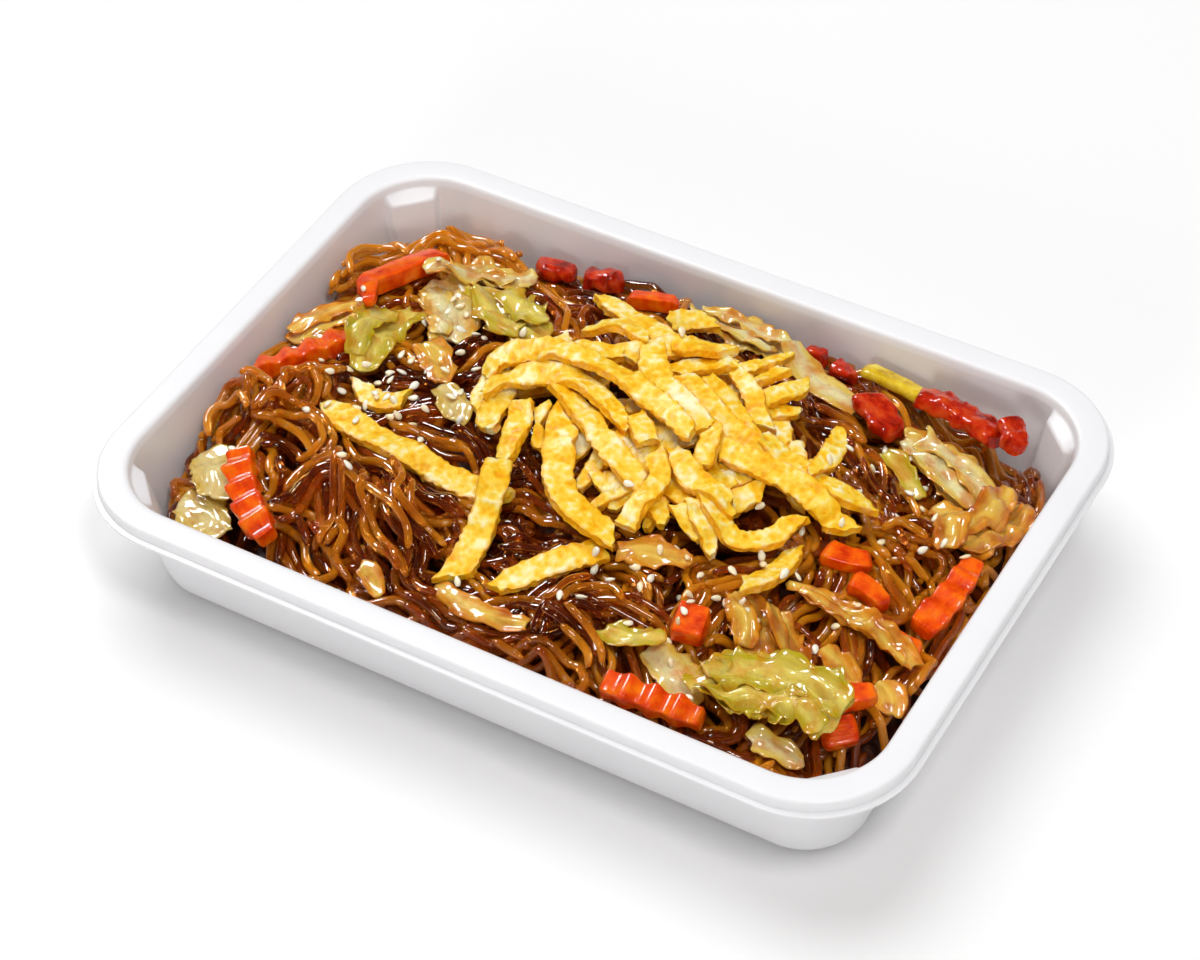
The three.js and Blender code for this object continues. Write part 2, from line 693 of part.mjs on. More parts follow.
const eggStrips = [
  [[-27, 50], [4, 30], 2],
  [[-6, 46], [14, 50], -3],
  [[-38, 12], [-16, 30], 2],
  [[-22, 33], [-1, 30], 6],
  [[22, 33], [27, 53], 2],
  [[28, 22], [38, 43], 2],
  [[37, 22], [50, 33], -2],
  [[54, 8], [57, 27], -3],
  [[40, 12], [71, 20], -3],
  [[34, 1], [69, 6], 2],
  [[38, -15], [58, -3], -5],
  [[2, -22], [25, -28], -2],
  [[22, -14], [38, -20], 1],
  [[-10, -2], [9, -29], -3],
  [[-30, 6], [-12, 24], -3],
  [[-16, 34], [4, 22], 1],
  [[6, 24], [18, 38], 2],
  [[0, 26], [22, 8], -3],
  [[16, 36], [39, 14], 1],
  [[-33, -4], [7, -1], 8],
  [[-12, 5], [25, -21], 1],
  [[4, 8], [18, -8], -2],
  [[18, 21], [43, 7], 2],
  [[21, -9], [20, -24], 1],
  [[23, -2], [46, -12], 1],
  [[-39, -2], [32, -3], 11],
];

function makeEggMound() {
  const core = makeEggCore();
  overGeometry(core, (k, z) => {
    eggOwn[k] = Math.max(eggOwn[k], z);
  });
  const sink = 0.9;
  const ground = (k) => Math.max(overLaid(k), eggOwn[k] - sink);
  const bodies = [core];
  eggStrips.forEach(([from, to, bow], index) => {
    const line = bowedLine(from, to, bow);
    const strip = laySheet({
      line,
      width: eggWidth * (0.85 + 0.3 * ((index * 5) % 7) / 6),
      thickness: eggThickness,
      rows: Math.round(line.getLength() / 7) + 1,
      columns: 2,
      profile: roundEnds,
      sag: 3,
      seed: index + 60,
    }, ground);
    overGeometry(strip, (k, z) => {
      eggOwn[k] = Math.max(eggOwn[k], z);
    });
    bodies.push(strip);
  });
  return fuse(bodies);
}

const eggMound = makeEggMound();
recordPiece(eggMound);
addPiece('egg_mound', eggMound, 'egg');

// Noodles: tubes that follow the heap between the toppings, and sesame seeds on them

function noodleHeading(x, y) {
  const frontLeft = clamp((-x - 45) / 30, 0, 1) * clamp((-y - 15) / 25, 0, 1);
  const sway = 32 * Math.sin(x / 27 + 1.1) * Math.cos(y / 23 - 0.4);
  return degToRad(-24 + sway - 42 * frontLeft);
}

function isCovered(x, y, reach, headroom) {
  for (let dx = -reach; dx <= reach; dx += cell) {
    for (let dy = -reach; dy <= reach; dy += cell) {
      if (Math.hypot(dx, dy) > reach) continue;
      const k = cellAt(x + dx, y + dy);
      if (lowestCover[k] < bareTop[k] + headroom) return true;
    }
  }
  const [px, py] = keepInside(x, y, reach);
  return Math.hypot(px - x, py - y) > 0.01;
}

function traceNoodle(x, y, wobble) {
  const ways = [1, -1].map((way) => {
    const points = [];
    let px = x;
    let py = y;
    for (let s = 0; s < noodleReach; s += traceStep) {
      const heading = noodleHeading(px, py) + 0.45 * Math.sin(s * way / 7 + wobble);
      px += way * traceStep * Math.cos(heading);
      py += way * traceStep * Math.sin(heading);
      if (isCovered(px, py, noodleDiameter / 2 + 1.2, noodleDiameter + 1)) break;
      points.push([px, py]);
    }
    return points;
  });
  return [...ways[1].reverse(), [x, y], ...ways[0]];
}

function isCrowded(route, laid, spacing) {
  const near = route.filter(([x, y]) => laid.some((other) => (
    other.some(([ox, oy]) => Math.hypot(x - ox, y - oy) < spacing)
  )));
  return near.length > route.length * 0.2;
}

function noodleGeometry(route, wobble) {
  const points = route.map(([x, y], k) => new THREE.Vector3(
    x,
    y,
    bareTop[cellAt(x, y)] + 0.25 + 0.55 * Math.sin(k / 2.3 + wobble),
  ));
  const path = new THREE.CatmullRomCurve3(points.filter((p, k) => k % 2 === 0 || k === points.length - 1));
  const section = new THREE.Shape();
  for (let k = 0; k < noodleSides; k += 1) {
    const angle = 2 * Math.PI * k / noodleSides;
    const x = noodleDiameter / 2 * Math.cos(angle);
    const y = noodleDiameter / 2 * Math.sin(angle);
    if (k === 0) section.moveTo(x, y);
    else section.lineTo(x, y);
  }
  const steps = Math.min(noodleSteps, Math.ceil(path.getLength() / 3));
  return new THREE.ExtrudeGeometry(section, { steps, bevelEnabled: false, extrudePath: path });
}

// Long noodles far apart come first, then shorter ones that lie closer.
function layNoodles() {
  const random = seededRandom(11);
  const laid = [];
  const bodies = [];
  for (let shortest = 44; shortest >= 16 && bodies.length < noodleCount; shortest -= 7) {
    for (let tries = 0; tries < 300 && bodies.length < noodleCount; tries += 1) {
      const x = lerp(-heapHalfLength, heapHalfLength, random());
      const y = lerp(-heapHalfWidth, heapHalfWidth, random());
      const wobble = 6 * random();
      if (isCovered(x, y, noodleDiameter / 2 + 1.2, noodleDiameter + 1)) continue;
      const route = traceNoodle(x, y, wobble);
      if (route.length * traceStep < shortest || isCrowded(route, laid, shortest / 5)) continue;
      laid.push(route);
      bodies.push(noodleGeometry(route, wobble));
    }
  }
  return bodies;
}

function laySeeds(noodleTop) {
  const random = seededRandom(29);
  const places = [];
  const bodies = [];
  for (let tries = 0; tries < 4000 && bodies.length < seedCount; tries += 1) {
    const x = lerp(-heapHalfLength, heapHalfLength, random());
    const y = lerp(-heapHalfWidth, heapHalfWidth, random());
    const turn = Math.PI * random();
    const tilt = 0.5 * (random() - 0.5);
    if (isCovered(x, y, seedSize.x / 2 + 1, noodleDiameter + 2.4)) continue;
    if (places.some(([px, py]) => Math.hypot(x - px, y - py) < 11)) continue;
    places.push([x, y]);
    const seed = new THREE.SphereGeometry(0.5, 5, 4);
    seed.scale(seedSize.x, seedSize.y, seedSize.z);
    seed.rotateY(tilt);
    seed.rotateZ(turn);
    seed.translate(x, y, noodleTop[cellAt(x, y)] + 0.15);
    bodies.push(seed);
  }
  return bodies;
}

const noodleBodies = layNoodles();
const noodleTop = bareTop.slice();
noodleBodies.forEach((body) => {
  const bare = new THREE.BufferGeometry().setAttribute('position', body.attributes.position);
  const indexed = mergeVertices(bare, 1e-4);
  overGeometry(indexed, (k, z) => {
    noodleTop[k] = Math.max(noodleTop[k], z);
  });
});
addPiece('noodles', fuse([heap, ...noodleBodies, ...laySeeds(noodleTop)]), 'noodle');

export default box;
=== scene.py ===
# %% [markdown]
# # A takeaway box of glass noodles
# This lesson dresses a plain solid model of a takeaway meal: a white plastic tray, a heap of glossy
# sweet-potato noodles, shredded omelette, crinkle-cut carrot, pepper, cabbage and sesame. The plain
# solids come first and stay where they are. Each step below then builds the fine surface of one
# kind of piece around them, and gives it a finish made of nodes.

# %% Load the frame
import math
from itertools import product
import bpy
import numpy as np
from mathutils import Matrix, Vector
from mathutils.bvhtree import BVHTree


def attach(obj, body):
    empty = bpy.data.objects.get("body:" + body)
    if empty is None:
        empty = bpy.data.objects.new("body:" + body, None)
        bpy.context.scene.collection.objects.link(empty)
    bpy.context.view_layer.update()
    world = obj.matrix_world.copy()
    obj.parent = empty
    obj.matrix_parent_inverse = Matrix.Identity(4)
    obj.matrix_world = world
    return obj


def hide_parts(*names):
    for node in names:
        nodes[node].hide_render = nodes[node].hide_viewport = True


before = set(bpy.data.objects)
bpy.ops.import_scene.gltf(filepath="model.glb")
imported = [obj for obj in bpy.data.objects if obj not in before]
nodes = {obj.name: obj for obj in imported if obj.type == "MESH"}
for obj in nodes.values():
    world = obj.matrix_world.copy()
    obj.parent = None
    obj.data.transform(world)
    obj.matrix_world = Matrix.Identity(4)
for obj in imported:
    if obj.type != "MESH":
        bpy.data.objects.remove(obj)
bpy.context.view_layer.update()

MM = 0.001

# %% [markdown]
# ## The camera
# The meal is seen from above its front right corner, about halfway between the table and the
# zenith, through a long lens, so that the tray's sides stay almost parallel. The camera stands on a
# line from a target point on the table, and is rolled by two degrees, as a hand-held one is.

# %% Camera
AZIMUTH = math.radians(31.3)
ELEVATION = math.radians(45.3)
ROLL = math.radians(-2.0)
DISTANCE = 861.1
TARGET = Vector((-14.5, 22.1, 0))
SENSOR_WIDTH = 36.0
LENS = 95.4

back = Vector((
    math.sin(AZIMUTH) * math.cos(ELEVATION),
    -math.cos(AZIMUTH) * math.cos(ELEVATION),
    math.sin(ELEVATION),
))
right = Vector((math.cos(AZIMUTH), math.sin(AZIMUTH), 0))
up = back.cross(right)
rolled_right = right * math.cos(ROLL) + up * math.sin(ROLL)
rolled_up = up * math.cos(ROLL) - right * math.sin(ROLL)

camera = bpy.data.objects.new("camera", bpy.data.cameras.new("camera"))
camera.data.lens = LENS
camera.data.sensor_width = SENSOR_WIDTH
camera.matrix_world = (
    Matrix.Translation((TARGET + back * DISTANCE) * MM)
    @ Matrix((rolled_right, rolled_up, back)).transposed().to_4x4()
)
bpy.context.scene.collection.objects.link(camera)
bpy.context.scene.camera = camera
print("camera at", [round(c) for c in camera.location / MM])

# %% [markdown]
# ## Light and floor
# The photograph is a bright product shot: a white table that fades into a white background, a broad
# soft light from behind on the left, and weak shadows to the front and the right. A white world
# gives the fill, a large lamp gives the direction of the shadows, one high in front lights the food,
# and a low one lights the back wall from inside, but hardly the table, so that the shadow stays dark
# where the tray meets the table. Mirror images of the large lamp and the low one would lay a milky
# film over the dark noodles, so they are kept out of reflections, and a small lamp that is only there
# to be mirrored gives the thin glints that make the sauce look wet. The world is dimmer in
# reflections too, as in a studio with dark screens above the food.

# %% World, lamps and floor
WORLD_COLOUR = (1.0, 0.975, 0.96)
WORLD_STRENGTH = 0.34
WORLD_MIRRORED = 0.06
LAMPS = {
    "key": {"from": (-620, 480, 2000), "size": 1700, "watts": 26.3, "colour": (0.97, 0.985, 1.0)},
    "front": {"from": (680, -480, 1680), "size": 420, "watts": 9.2, "colour": (1.0, 0.985, 0.97)},
    "low": {"from": (300, -1900, 700), "size": 500, "watts": 6.5, "colour": (1.0, 0.985, 0.97)},
    "glint": {"from": (-760, 160, 900), "size": 480, "watts": 17.0, "colour": (0.95, 0.96, 1.0)},
}
FLOOR_SIZE = 6000

world = bpy.data.worlds.new("studio")
world.use_nodes = True
sky = world.node_tree
sky.nodes["Background"].inputs["Color"].default_value = (*WORLD_COLOUR, 1.0)
ray = sky.nodes.new("ShaderNodeLightPath")
dimmed = sky.nodes.new("ShaderNodeMapRange")
dimmed.inputs["To Min"].default_value = WORLD_STRENGTH
dimmed.inputs["To Max"].default_value = WORLD_MIRRORED
sky.links.new(ray.outputs["Is Glossy Ray"], dimmed.inputs["Value"])
sky.links.new(dimmed.outputs["Result"], sky.nodes["Background"].inputs["Strength"])
bpy.context.scene.world = world
bpy.context.scene.view_settings.view_transform = "Standard"

for name, lamp in LAMPS.items():
    light = bpy.data.lights.new(name, "AREA")
    light.shape = "DISK"
    light.size = lamp["size"] * MM
    light.energy = lamp["watts"]
    light.color = lamp["colour"]
    holder = bpy.data.objects.new(name, light)
    holder.location = Vector(lamp["from"]) * MM
    holder.rotation_euler = (-holder.location).to_track_quat("-Z", "Y").to_euler()
    holder.visible_glossy = name not in ("key", "low")
    holder.visible_diffuse = name != "glint"
    bpy.context.scene.collection.objects.link(holder)
print("lamps:", ", ".join(LAMPS))

# %% [markdown]
# ## Writing node maths as plain expressions
# A material's colour is a small sum: one colour here, another there, and a mask that says which. In
# the node editor each plus or minus is a node with its own wires. The small class below wraps an
# output socket, so that `mask * 0.5 + 0.2` adds the Math nodes by itself. Colours don't go through
# Math nodes, which would turn them grey, so they have a method of their own that uses a Mix node.

# %% Sockets that can be added and multiplied
class Wire:
    """An output socket of a material's nodes, which takes part in sums."""

    def __init__(self, finish, socket):
        self.finish = finish
        self.socket = socket

    def maths(self, operation, first, second=0.0, clamp=False):
        settings = {"operation": operation, "use_clamp": clamp}
        return self.finish.node("ShaderNodeMath", settings, {0: first, 1: second})

    def __add__(self, other):
        return self.maths("ADD", self, other)

    def __radd__(self, other):
        return self.maths("ADD", other, self)

    def __sub__(self, other):
        return self.maths("SUBTRACT", self, other)

    def __mul__(self, other):
        return self.maths("MULTIPLY", self, other)

    def clamped(self):
        return self.maths("ADD", self, 0.0, clamp=True)

    def between(self, low, high):
        """0 below low, 1 above high and a smooth rise from one to the other."""
        settings = {"interpolation_type": "SMOOTHSTEP", "clamp": True}
        values = {"Value": self, "From Min": low, "From Max": high}
        return self.finish.node("ShaderNodeMapRange", settings, values)


# %% [markdown]
# ## One finish, one object
# Every finish here is a Principled shader: its steady values are set on the shader's own sockets,
# and what changes over the surface comes from nodes. `node` makes any node from its type, its
# settings and the values or wires of its sockets, and returns the first output or the named one.

# %% Finishes
def linear(colour):
    """A colour as it looks on screen, 0 to 255, as the linear values that shaders use."""
    parts = [c / 255 for c in colour]
    return [c / 12.92 if c <= 0.04045 else ((c + 0.055) / 1.055) ** 2.4 for c in parts]


class Finish:
    """A material with one Principled shader, and short ways to add nodes to it."""

    def __init__(self, name, **steady):
        self.material = bpy.data.materials.new(name)
        self.material.use_nodes = True
        self.tree = self.material.node_tree
        self.shader = self.tree.nodes["Principled BSDF"]
        self.steady(self.shader, steady)

    def steady(self, shader, values):
        for name, value in values.items():
            shader.inputs[name.replace("_", " ").title().replace("Ior", "IOR")].default_value = value

    def node(self, kind, settings=None, values=None, out=0):
        made = self.tree.nodes.new(kind)
        for name, value in (settings or {}).items():
            if name == "stops":
                self.set_stops(made.color_ramp, value)
            else:
                setattr(made, name, value)
        for name, value in (values or {}).items():
            self.plug(made.inputs[name], value)
        return Wire(self, made.outputs[out])

    def plug(self, socket, value):
        if isinstance(value, Wire):
            self.tree.links.new(value.socket, socket)
        elif socket.type == "RGBA":
            socket.default_value = (*value, 1.0)
        else:
            socket.default_value = value

    def set_stops(self, ramp, stops):
        while len(ramp.elements) < len(stops):
            ramp.elements.new(0.5)
        for element, (place, colour) in zip(ramp.elements, stops):
            element.position = place
            element.color = (*linear(colour), 1.0)

    def place(self):
        """The point on the surface, in metres, in the model's own frame."""
        return self.node("ShaderNodeTexCoord", out="Object")

    def drawn(self, name):
        """A number that the mesh carries at each of its points."""
        return self.node("ShaderNodeAttribute", {"attribute_name": name}, out="Fac")

    def vector(self, x, y):
        return self.node("ShaderNodeCombineXYZ", None, {"X": x, "Y": y})

    def noise(self, size, detail=2.0, roughness=0.5, at=None):
        """Cloudy numbers around 0.5, with lumps about size millimetres wide."""
        values = {
            "Vector": self.place() if at is None else at,
            "Scale": 1 / (size * (MM if at is None else 1)),
            "Detail": detail,
            "Roughness": roughness,
        }
        return self.node("ShaderNodeTexNoise", None, values)

    def mix(self, share, first, second):
        """Two colours in one, by share."""
        settings = {"data_type": "RGBA", "blend_type": "MIX", "clamp_factor": True}
        values = {0: share, 6: self.colour(first), 7: self.colour(second)}
        return self.node("ShaderNodeMix", settings, values, out=2)

    def colour(self, value):
        return value if isinstance(value, Wire) else linear(value)

    def ramp(self, value, *stops):
        return self.node("ShaderNodeValToRGB", {"stops": stops}, {"Fac": value})

    def set(self, socket, value):
        self.plug(self.shader.inputs[socket], value)

    def cloud(self, share, colour, **steady):
        """Mixes a second shader into the first, for the part of the light that scatters inside."""
        second = self.tree.nodes.new("ShaderNodeBsdfPrincipled")
        self.steady(second, steady)
        self.plug(second.inputs["Base Color"], colour)
        for link in self.shader.inputs["Normal"].links:
            self.tree.links.new(link.from_socket, second.inputs["Normal"])
        mixed = self.tree.nodes.new("ShaderNodeMixShader")
        self.plug(mixed.inputs["Fac"], share)
        self.tree.links.new(self.shader.outputs["BSDF"], mixed.inputs[1])
        self.tree.links.new(second.outputs["BSDF"], mixed.inputs[2])
        self.tree.links.new(mixed.outputs["Shader"], self.tree.nodes["Material Output"].inputs["Surface"])

    def bump(self, height, depth, strength):
        """Small relief: height from 0 to 1 stands for depth millimetres."""
        values = {"Height": height, "Distance": depth * MM, "Strength": strength}
        self.set("Normal", self.node("ShaderNodeBump", None, values))


finishes = {}
print("finishes are made of", Finish.__name__, "and", Wire.__name__)

# %% [markdown]
# ## Random numbers that stay the same
# Food is uneven, but the lesson has to give the same meal each time. Two sources of randomness are
# used: numpy's generator with a fixed seed, for choices such as where a seed lies, and the function
# below, which gives smooth bumps in space by blending random numbers on the corners of a lattice.

# %% Smooth noise for moving points of a mesh
def bumps(points, size, seed=0):
    """Smooth numbers from -1 to 1 at points in millimetres, with bumps about size wide."""
    places = np.asarray(points, float) / size + 0.37 * seed
    cell = np.floor(places).astype(np.int64)
    part = places - cell
    part = part * part * (3 - 2 * part)
    total = 0.0
    for corner in product((0, 1), repeat=3):
        key = cell + corner
        mixed = key[..., 0] * 73856093 ^ key[..., 1] * 19349663 ^ key[..., 2] * 83492791 ^ seed * 2654435
        mixed = ((mixed ^ (mixed >> 13)) * 1274126177) & 0xFFFFFFFF
        value = ((mixed ^ (mixed >> 16)) & 0xFFFF) / 32767.5 - 1
        total = total + value * np.prod(np.where(corner, part, 1 - part), axis=-1)
    return total


def smooth_step(value, low, high):
    share = np.clip((value - low) / (high - low), 0, 1)
    return share * share * (3 - 2 * share)


# %% [markdown]
# ## From points to pieces
# A mesh is a list of points and a list of faces that name them. numpy makes both in bulk, and the
# helper below hands them to Blender, which is far faster than adding them one by one. A builder
# collects several closed bodies, such as all the seeds, and makes one piece of them. It also keeps a
# few numbers at each point, which a finish can read: a tone that differs from one strand to the next,
# with a painted glow by place on the noodles, and the distances along and across a leaf, so that its
# veins follow it.

# %% Pieces
class Builder:
    """Collects closed bodies and makes one Blender object of them."""

    def __init__(self):
        self.points = []
        self.faces = []
        self.numbers = []
        self.count = 0

    def add(self, points, faces, **numbers):
        points = np.asarray(points, float).reshape(-1, 3)
        self.points.append(points)
        self.faces += [np.asarray(group, int) + self.count for group in faces if len(group)]
        self.numbers.append({
            name: np.broadcast_to(np.asarray(value, float).ravel(), (len(points),))
            if np.size(value) == 1 else np.asarray(value, float).ravel()
            for name, value in numbers.items()
        })
        self.count += len(points)

    def triangles(self):
        return sum(len(group) * (group.shape[1] - 2) for group in self.faces)

    def piece(self, name, finish, slot, replaced, crease=None):
        points = np.concatenate(self.points)
        mesh = bpy.data.meshes.new(name)
        corners = np.concatenate([group.ravel() for group in self.faces])
        sizes = np.concatenate([np.full(len(group), group.shape[1]) for group in self.faces])
        mesh.vertices.add(len(points))
        mesh.vertices.foreach_set("co", (points * MM).ravel())
        mesh.loops.add(len(corners))
        mesh.loops.foreach_set("vertex_index", corners)
        mesh.polygons.add(len(sizes))
        mesh.polygons.foreach_set("loop_start", np.cumsum(sizes) - sizes)
        mesh.update(calc_edges=True)
        mesh.validate()
        for number in sorted({key for numbers in self.numbers for key in numbers}):
            values = np.concatenate([
                numbers.get(number, np.zeros(len(part)))
                for numbers, part in zip(self.numbers, self.points)
            ])
            attribute = mesh.attributes.new(number, "FLOAT", "POINT")
            attribute.data.foreach_set("value", values.astype(np.float32))
        mesh.polygons.foreach_set("use_smooth", np.ones(len(sizes), bool))
        if crease is not None:
            mesh.set_sharp_from_angle(angle=math.radians(crease))
        mesh.materials.append(finishes[finish].material)
        made = bpy.data.objects.new(name, mesh)
        bpy.context.scene.collection.objects.link(made)
        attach(made, "root")
        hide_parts(*replaced)
        print(f"{name}: {self.triangles()} triangles")


# %% [markdown]
# ## Rings and lines
# The tray, a carrot, a noodle and an omelette strip are all rings of points, one after another, with
# a face at each end. Each face's corners have to run anticlockwise as seen from outside, so that it
# faces out. That depends on which way the rings run, so the helper is told. Two more helpers give
# unit directions along a line, and the directions to its left.

# %% Faces between rings, and directions
def ring_faces(rows, sides, clockwise=False):
    """Faces of a closed body of rings, clockwise or not as seen from the last ring."""
    here = np.arange(rows * sides).reshape(rows, sides)
    after = np.roll(here, -1, axis=1)
    if clockwise:
        walls = np.stack([here[:-1], here[1:], after[1:], after[:-1]], axis=-1)
        return [walls.reshape(-1, 4), here[:1], here[-1:, ::-1]]
    walls = np.stack([here[:-1], after[:-1], after[1:], here[1:]], axis=-1)
    return [walls.reshape(-1, 4), here[:1, ::-1], here[-1:]]


def along_line(line):
    """Unit directions at each point of a line."""
    way = np.gradient(line, axis=0)
    return way / np.linalg.norm(way, axis=1, keepdims=True)


def left_of(way):
    return np.stack([-way[:, 1], way[:, 0]], axis=1)


print("rings and lines:", ring_faces.__name__, along_line.__name__, left_of.__name__)

# %% [markdown]
# ## The tray
# The tray is thermoformed from one sheet: a flat base, drafted walls, a broad flat rim that turns
# down into a skirt, and a small lip round the skirt. In each corner the inner wall steps in to a
# flat lug, on which the next tray rests when they are stacked. The quickest way to all of it is a
# profile of insets and heights, and a rounded rectangle drawn once at every point of the profile.

# %% Tray sizes
TRAY_LENGTH = 230.0
TRAY_WIDTH = 161.5
TRAY_HEIGHT = 38.0
CORNER_RADIUS = 27.6
RADIUS_LOSS_PER_INSET = 0.85
LEAST_RADIUS = 10.0
LIP_OUT = 1.4
LIP_HEIGHT = TRAY_HEIGHT - 3.8
RIM_FLAT = 7.4
WALL_INSET_TOP = 8.0
WALL_INSET_BOTTOM = 13.2
WALL_THICKNESS = 0.85
FLOOR_THICKNESS = 1.0
LUG_WIDTH = 15.4
LUG_STEP = 1.9
LUG_TOP = 34.0


def wall_inset(z):
    share = (z - 5) / (TRAY_HEIGHT - 6)
    return WALL_INSET_BOTTOM + (WALL_INSET_TOP - WALL_INSET_BOTTOM) * share


def tray_ring(inset, z, lug):
    """The tray's outline at an inset, lug from 0 for a plain corner to 1 for a full lug."""
    radius = max(CORNER_RADIUS - RADIUS_LOSS_PER_INSET * inset, LEAST_RADIUS)
    half = math.asin(LUG_WIDTH / 2 / radius)
    panel = radius * math.cos(half) - LUG_STEP
    angle = np.radians(np.linspace(0, 90, 61))
    off_middle = np.abs(angle - math.pi / 4)
    on_panel = 1 - smooth_step(off_middle, half - math.radians(2.2), half)
    share = on_panel * lug
    reach = radius * (1 - share) + np.minimum(panel / np.cos(off_middle), radius) * share
    middle_x = TRAY_LENGTH / 2 - inset - radius
    middle_y = TRAY_WIDTH / 2 - inset - radius
    ring = []
    for quarter, (side_x, side_y) in enumerate(((1, 1), (-1, 1), (-1, -1), (1, -1))):
        turn = angle + quarter * math.pi / 2
        x = side_x * middle_x + reach * np.cos(turn)
        y = side_y * middle_y + reach * np.sin(turn)
        ring.append(np.stack([x, y, np.full(len(x), z)], axis=1))
    return np.concatenate(ring)


# %% Profile with its corners rounded
def rounded_profile(corners, steps=4):
    """Each corner is (inset, height, lug, radius), and is replaced by a short curve."""
    spots = np.array([corner[:3] for corner in corners], float)
    rounded = [spots[0]]
    for k in range(1, len(spots) - 1):
        before, here, after = spots[k - 1], spots[k], spots[k + 1]
        reach = [min(corners[k][3], 0.45 * np.hypot(*(other - here)[:2])) for other in (before, after)]
        start = here + (before - here) * reach[0] / max(np.hypot(*(before - here)[:2]), 1e-6)
        end = here + (after - here) * reach[1] / max(np.hypot(*(after - here)[:2]), 1e-6)
        for u in np.linspace(0, 1, steps + 1):
            rounded.append((1 - u) ** 2 * start + 2 * u * (1 - u) * here + u ** 2 * end)
    return rounded + [spots[-1]]


outer_top = wall_inset(TRAY_HEIGHT - 2.4) - WALL_THICKNESS
TRAY_PROFILE = [
    (40.0, 0.55, 0, 0),
    (22.0, 0.5, 0, 1.0),
    (20.0, 0.0, 0, 0.6),
    (17.4, 0.0, 0, 1.2),
    (13.6, 1.9, 0, 2.4),
    (wall_inset(6) - WALL_THICKNESS, 6, 0, 2.4),
    (outer_top, TRAY_HEIGHT - 2.4, 0, 0.6),
    (1.3, TRAY_HEIGHT - 1.1, 0, 0.6),
    (1.0, LIP_HEIGHT - 0.3, 0, 0.3),
    (-LIP_OUT, LIP_HEIGHT - 0.4, 0, 0.3),
    (-LIP_OUT, LIP_HEIGHT + 0.4, 0, 0.3),
    (0.0, LIP_HEIGHT + 0.6, 0, 0.25),
    (0.0, TRAY_HEIGHT, 0, 1.1),
    (RIM_FLAT, TRAY_HEIGHT, 0, 1.3),
    (wall_inset(LUG_TOP + 1.5), LUG_TOP + 1.5, 0, 0.4),
    (wall_inset(LUG_TOP - 0.9), LUG_TOP - 0.9, 1, 0.6),
    (WALL_INSET_BOTTOM, 5, 1, 3.0),
    (WALL_INSET_BOTTOM + 3.6, FLOOR_THICKNESS, 1, 1.5),
    (40.0, FLOOR_THICKNESS + 0.5, 0, 0),
]

# %% Plastic finish
plastic = Finish("white_plastic", roughness=0.32, ior=1.46, subsurface_weight=0.06)
plastic.shader.inputs["Subsurface Radius"].default_value = (0.004, 0.004, 0.004)
plastic.shader.inputs["Subsurface Scale"].default_value = 1.0
cloudy = plastic.noise(24.0)
plastic.set("Base Color", plastic.mix(cloudy, (238, 238, 241), (244, 244, 246)))
plastic.set("Roughness", 0.28 + plastic.noise(6.0, detail=4.0) * 0.1)
plastic.bump(plastic.noise(0.9, detail=1.0), 0.02, 0.5)
finishes["plastic"] = plastic

# %% Tray piece
def build_tray():
    rings = [tray_ring(inset, z, lug) for inset, z, lug in rounded_profile(TRAY_PROFILE)]
    body = Builder()
    body.add(np.concatenate(rings), ring_faces(len(rings), len(rings[0])))
    body.piece("tray_shell", "plastic", "tray_plastic", ["tray"])


build_tray()

# %% [markdown]
# ## Where things lie
# Each piece of food rests on what was laid before it. A relief keeps the height of the top at every
# half millimetre of the tray, and answers how high the heap is at a point. Laying a strand asks the
# relief for the height under it, and then raises the relief to the strand's own top. A second
# relief, the ceiling, keeps the underside of the toppings, so that noodles pass beneath them.

# %% Relief
HALF_LENGTH = 108.0
HALF_WIDTH = 76.0
CELL = 0.5


class Relief:
    """Heights, in millimetres, on a grid of half-millimetre cells."""

    def __init__(self, heights):
        x = np.arange(-HALF_LENGTH, HALF_LENGTH + CELL / 2, CELL)
        y = np.arange(-HALF_WIDTH, HALF_WIDTH + CELL / 2, CELL)
        self.x, self.y = np.meshgrid(x, y, indexing="ij")
        self.z = heights(self.x, self.y) if callable(heights) else np.full(self.x.shape, float(heights))

    def cell(self, x, y):
        i = np.clip(np.rint((np.asarray(x) + HALF_LENGTH) / CELL).astype(int), 0, self.z.shape[0] - 1)
        j = np.clip(np.rint((np.asarray(y) + HALF_WIDTH) / CELL).astype(int), 0, self.z.shape[1] - 1)
        return i, j

    def at(self, x, y):
        """The height at points, blended from the four cells round each."""
        u = np.clip((np.asarray(x) + HALF_LENGTH) / CELL, 0, self.z.shape[0] - 1.001)
        v = np.clip((np.asarray(y) + HALF_WIDTH) / CELL, 0, self.z.shape[1] - 1.001)
        i, j = u.astype(int), v.astype(int)
        a, b = u - i, v - j
        low = self.z[i, j] * (1 - b) + self.z[i, j + 1] * b
        high = self.z[i + 1, j] * (1 - b) + self.z[i + 1, j + 1] * b
        return low * (1 - a) + high * a

    def raise_to(self, x, y, z):
        np.maximum.at(self.z, self.cell(x, y), z)

    def lower_to(self, x, y, z):
        np.minimum.at(self.z, self.cell(x, y), z)

    def blurred(self, width):
        """A copy in which each height is averaged over a square of that width."""
        copy = Relief(0.0)
        reach = max(1, int(round(width / CELL / 2)))
        copy.z = self.z.copy()
        for axis in (0, 1):
            edged = np.concatenate([
                np.repeat(copy.z.take([0], axis), reach + 1, axis),
                copy.z,
                np.repeat(copy.z.take([-1], axis), reach, axis),
            ], axis)
            total = np.cumsum(edged, axis)
            size = copy.z.shape[axis]
            upper = total.take(range(2 * reach + 1, 2 * reach + 1 + size), axis)
            copy.z = (upper - total.take(range(size), axis)) / (2 * reach + 1)
        return copy


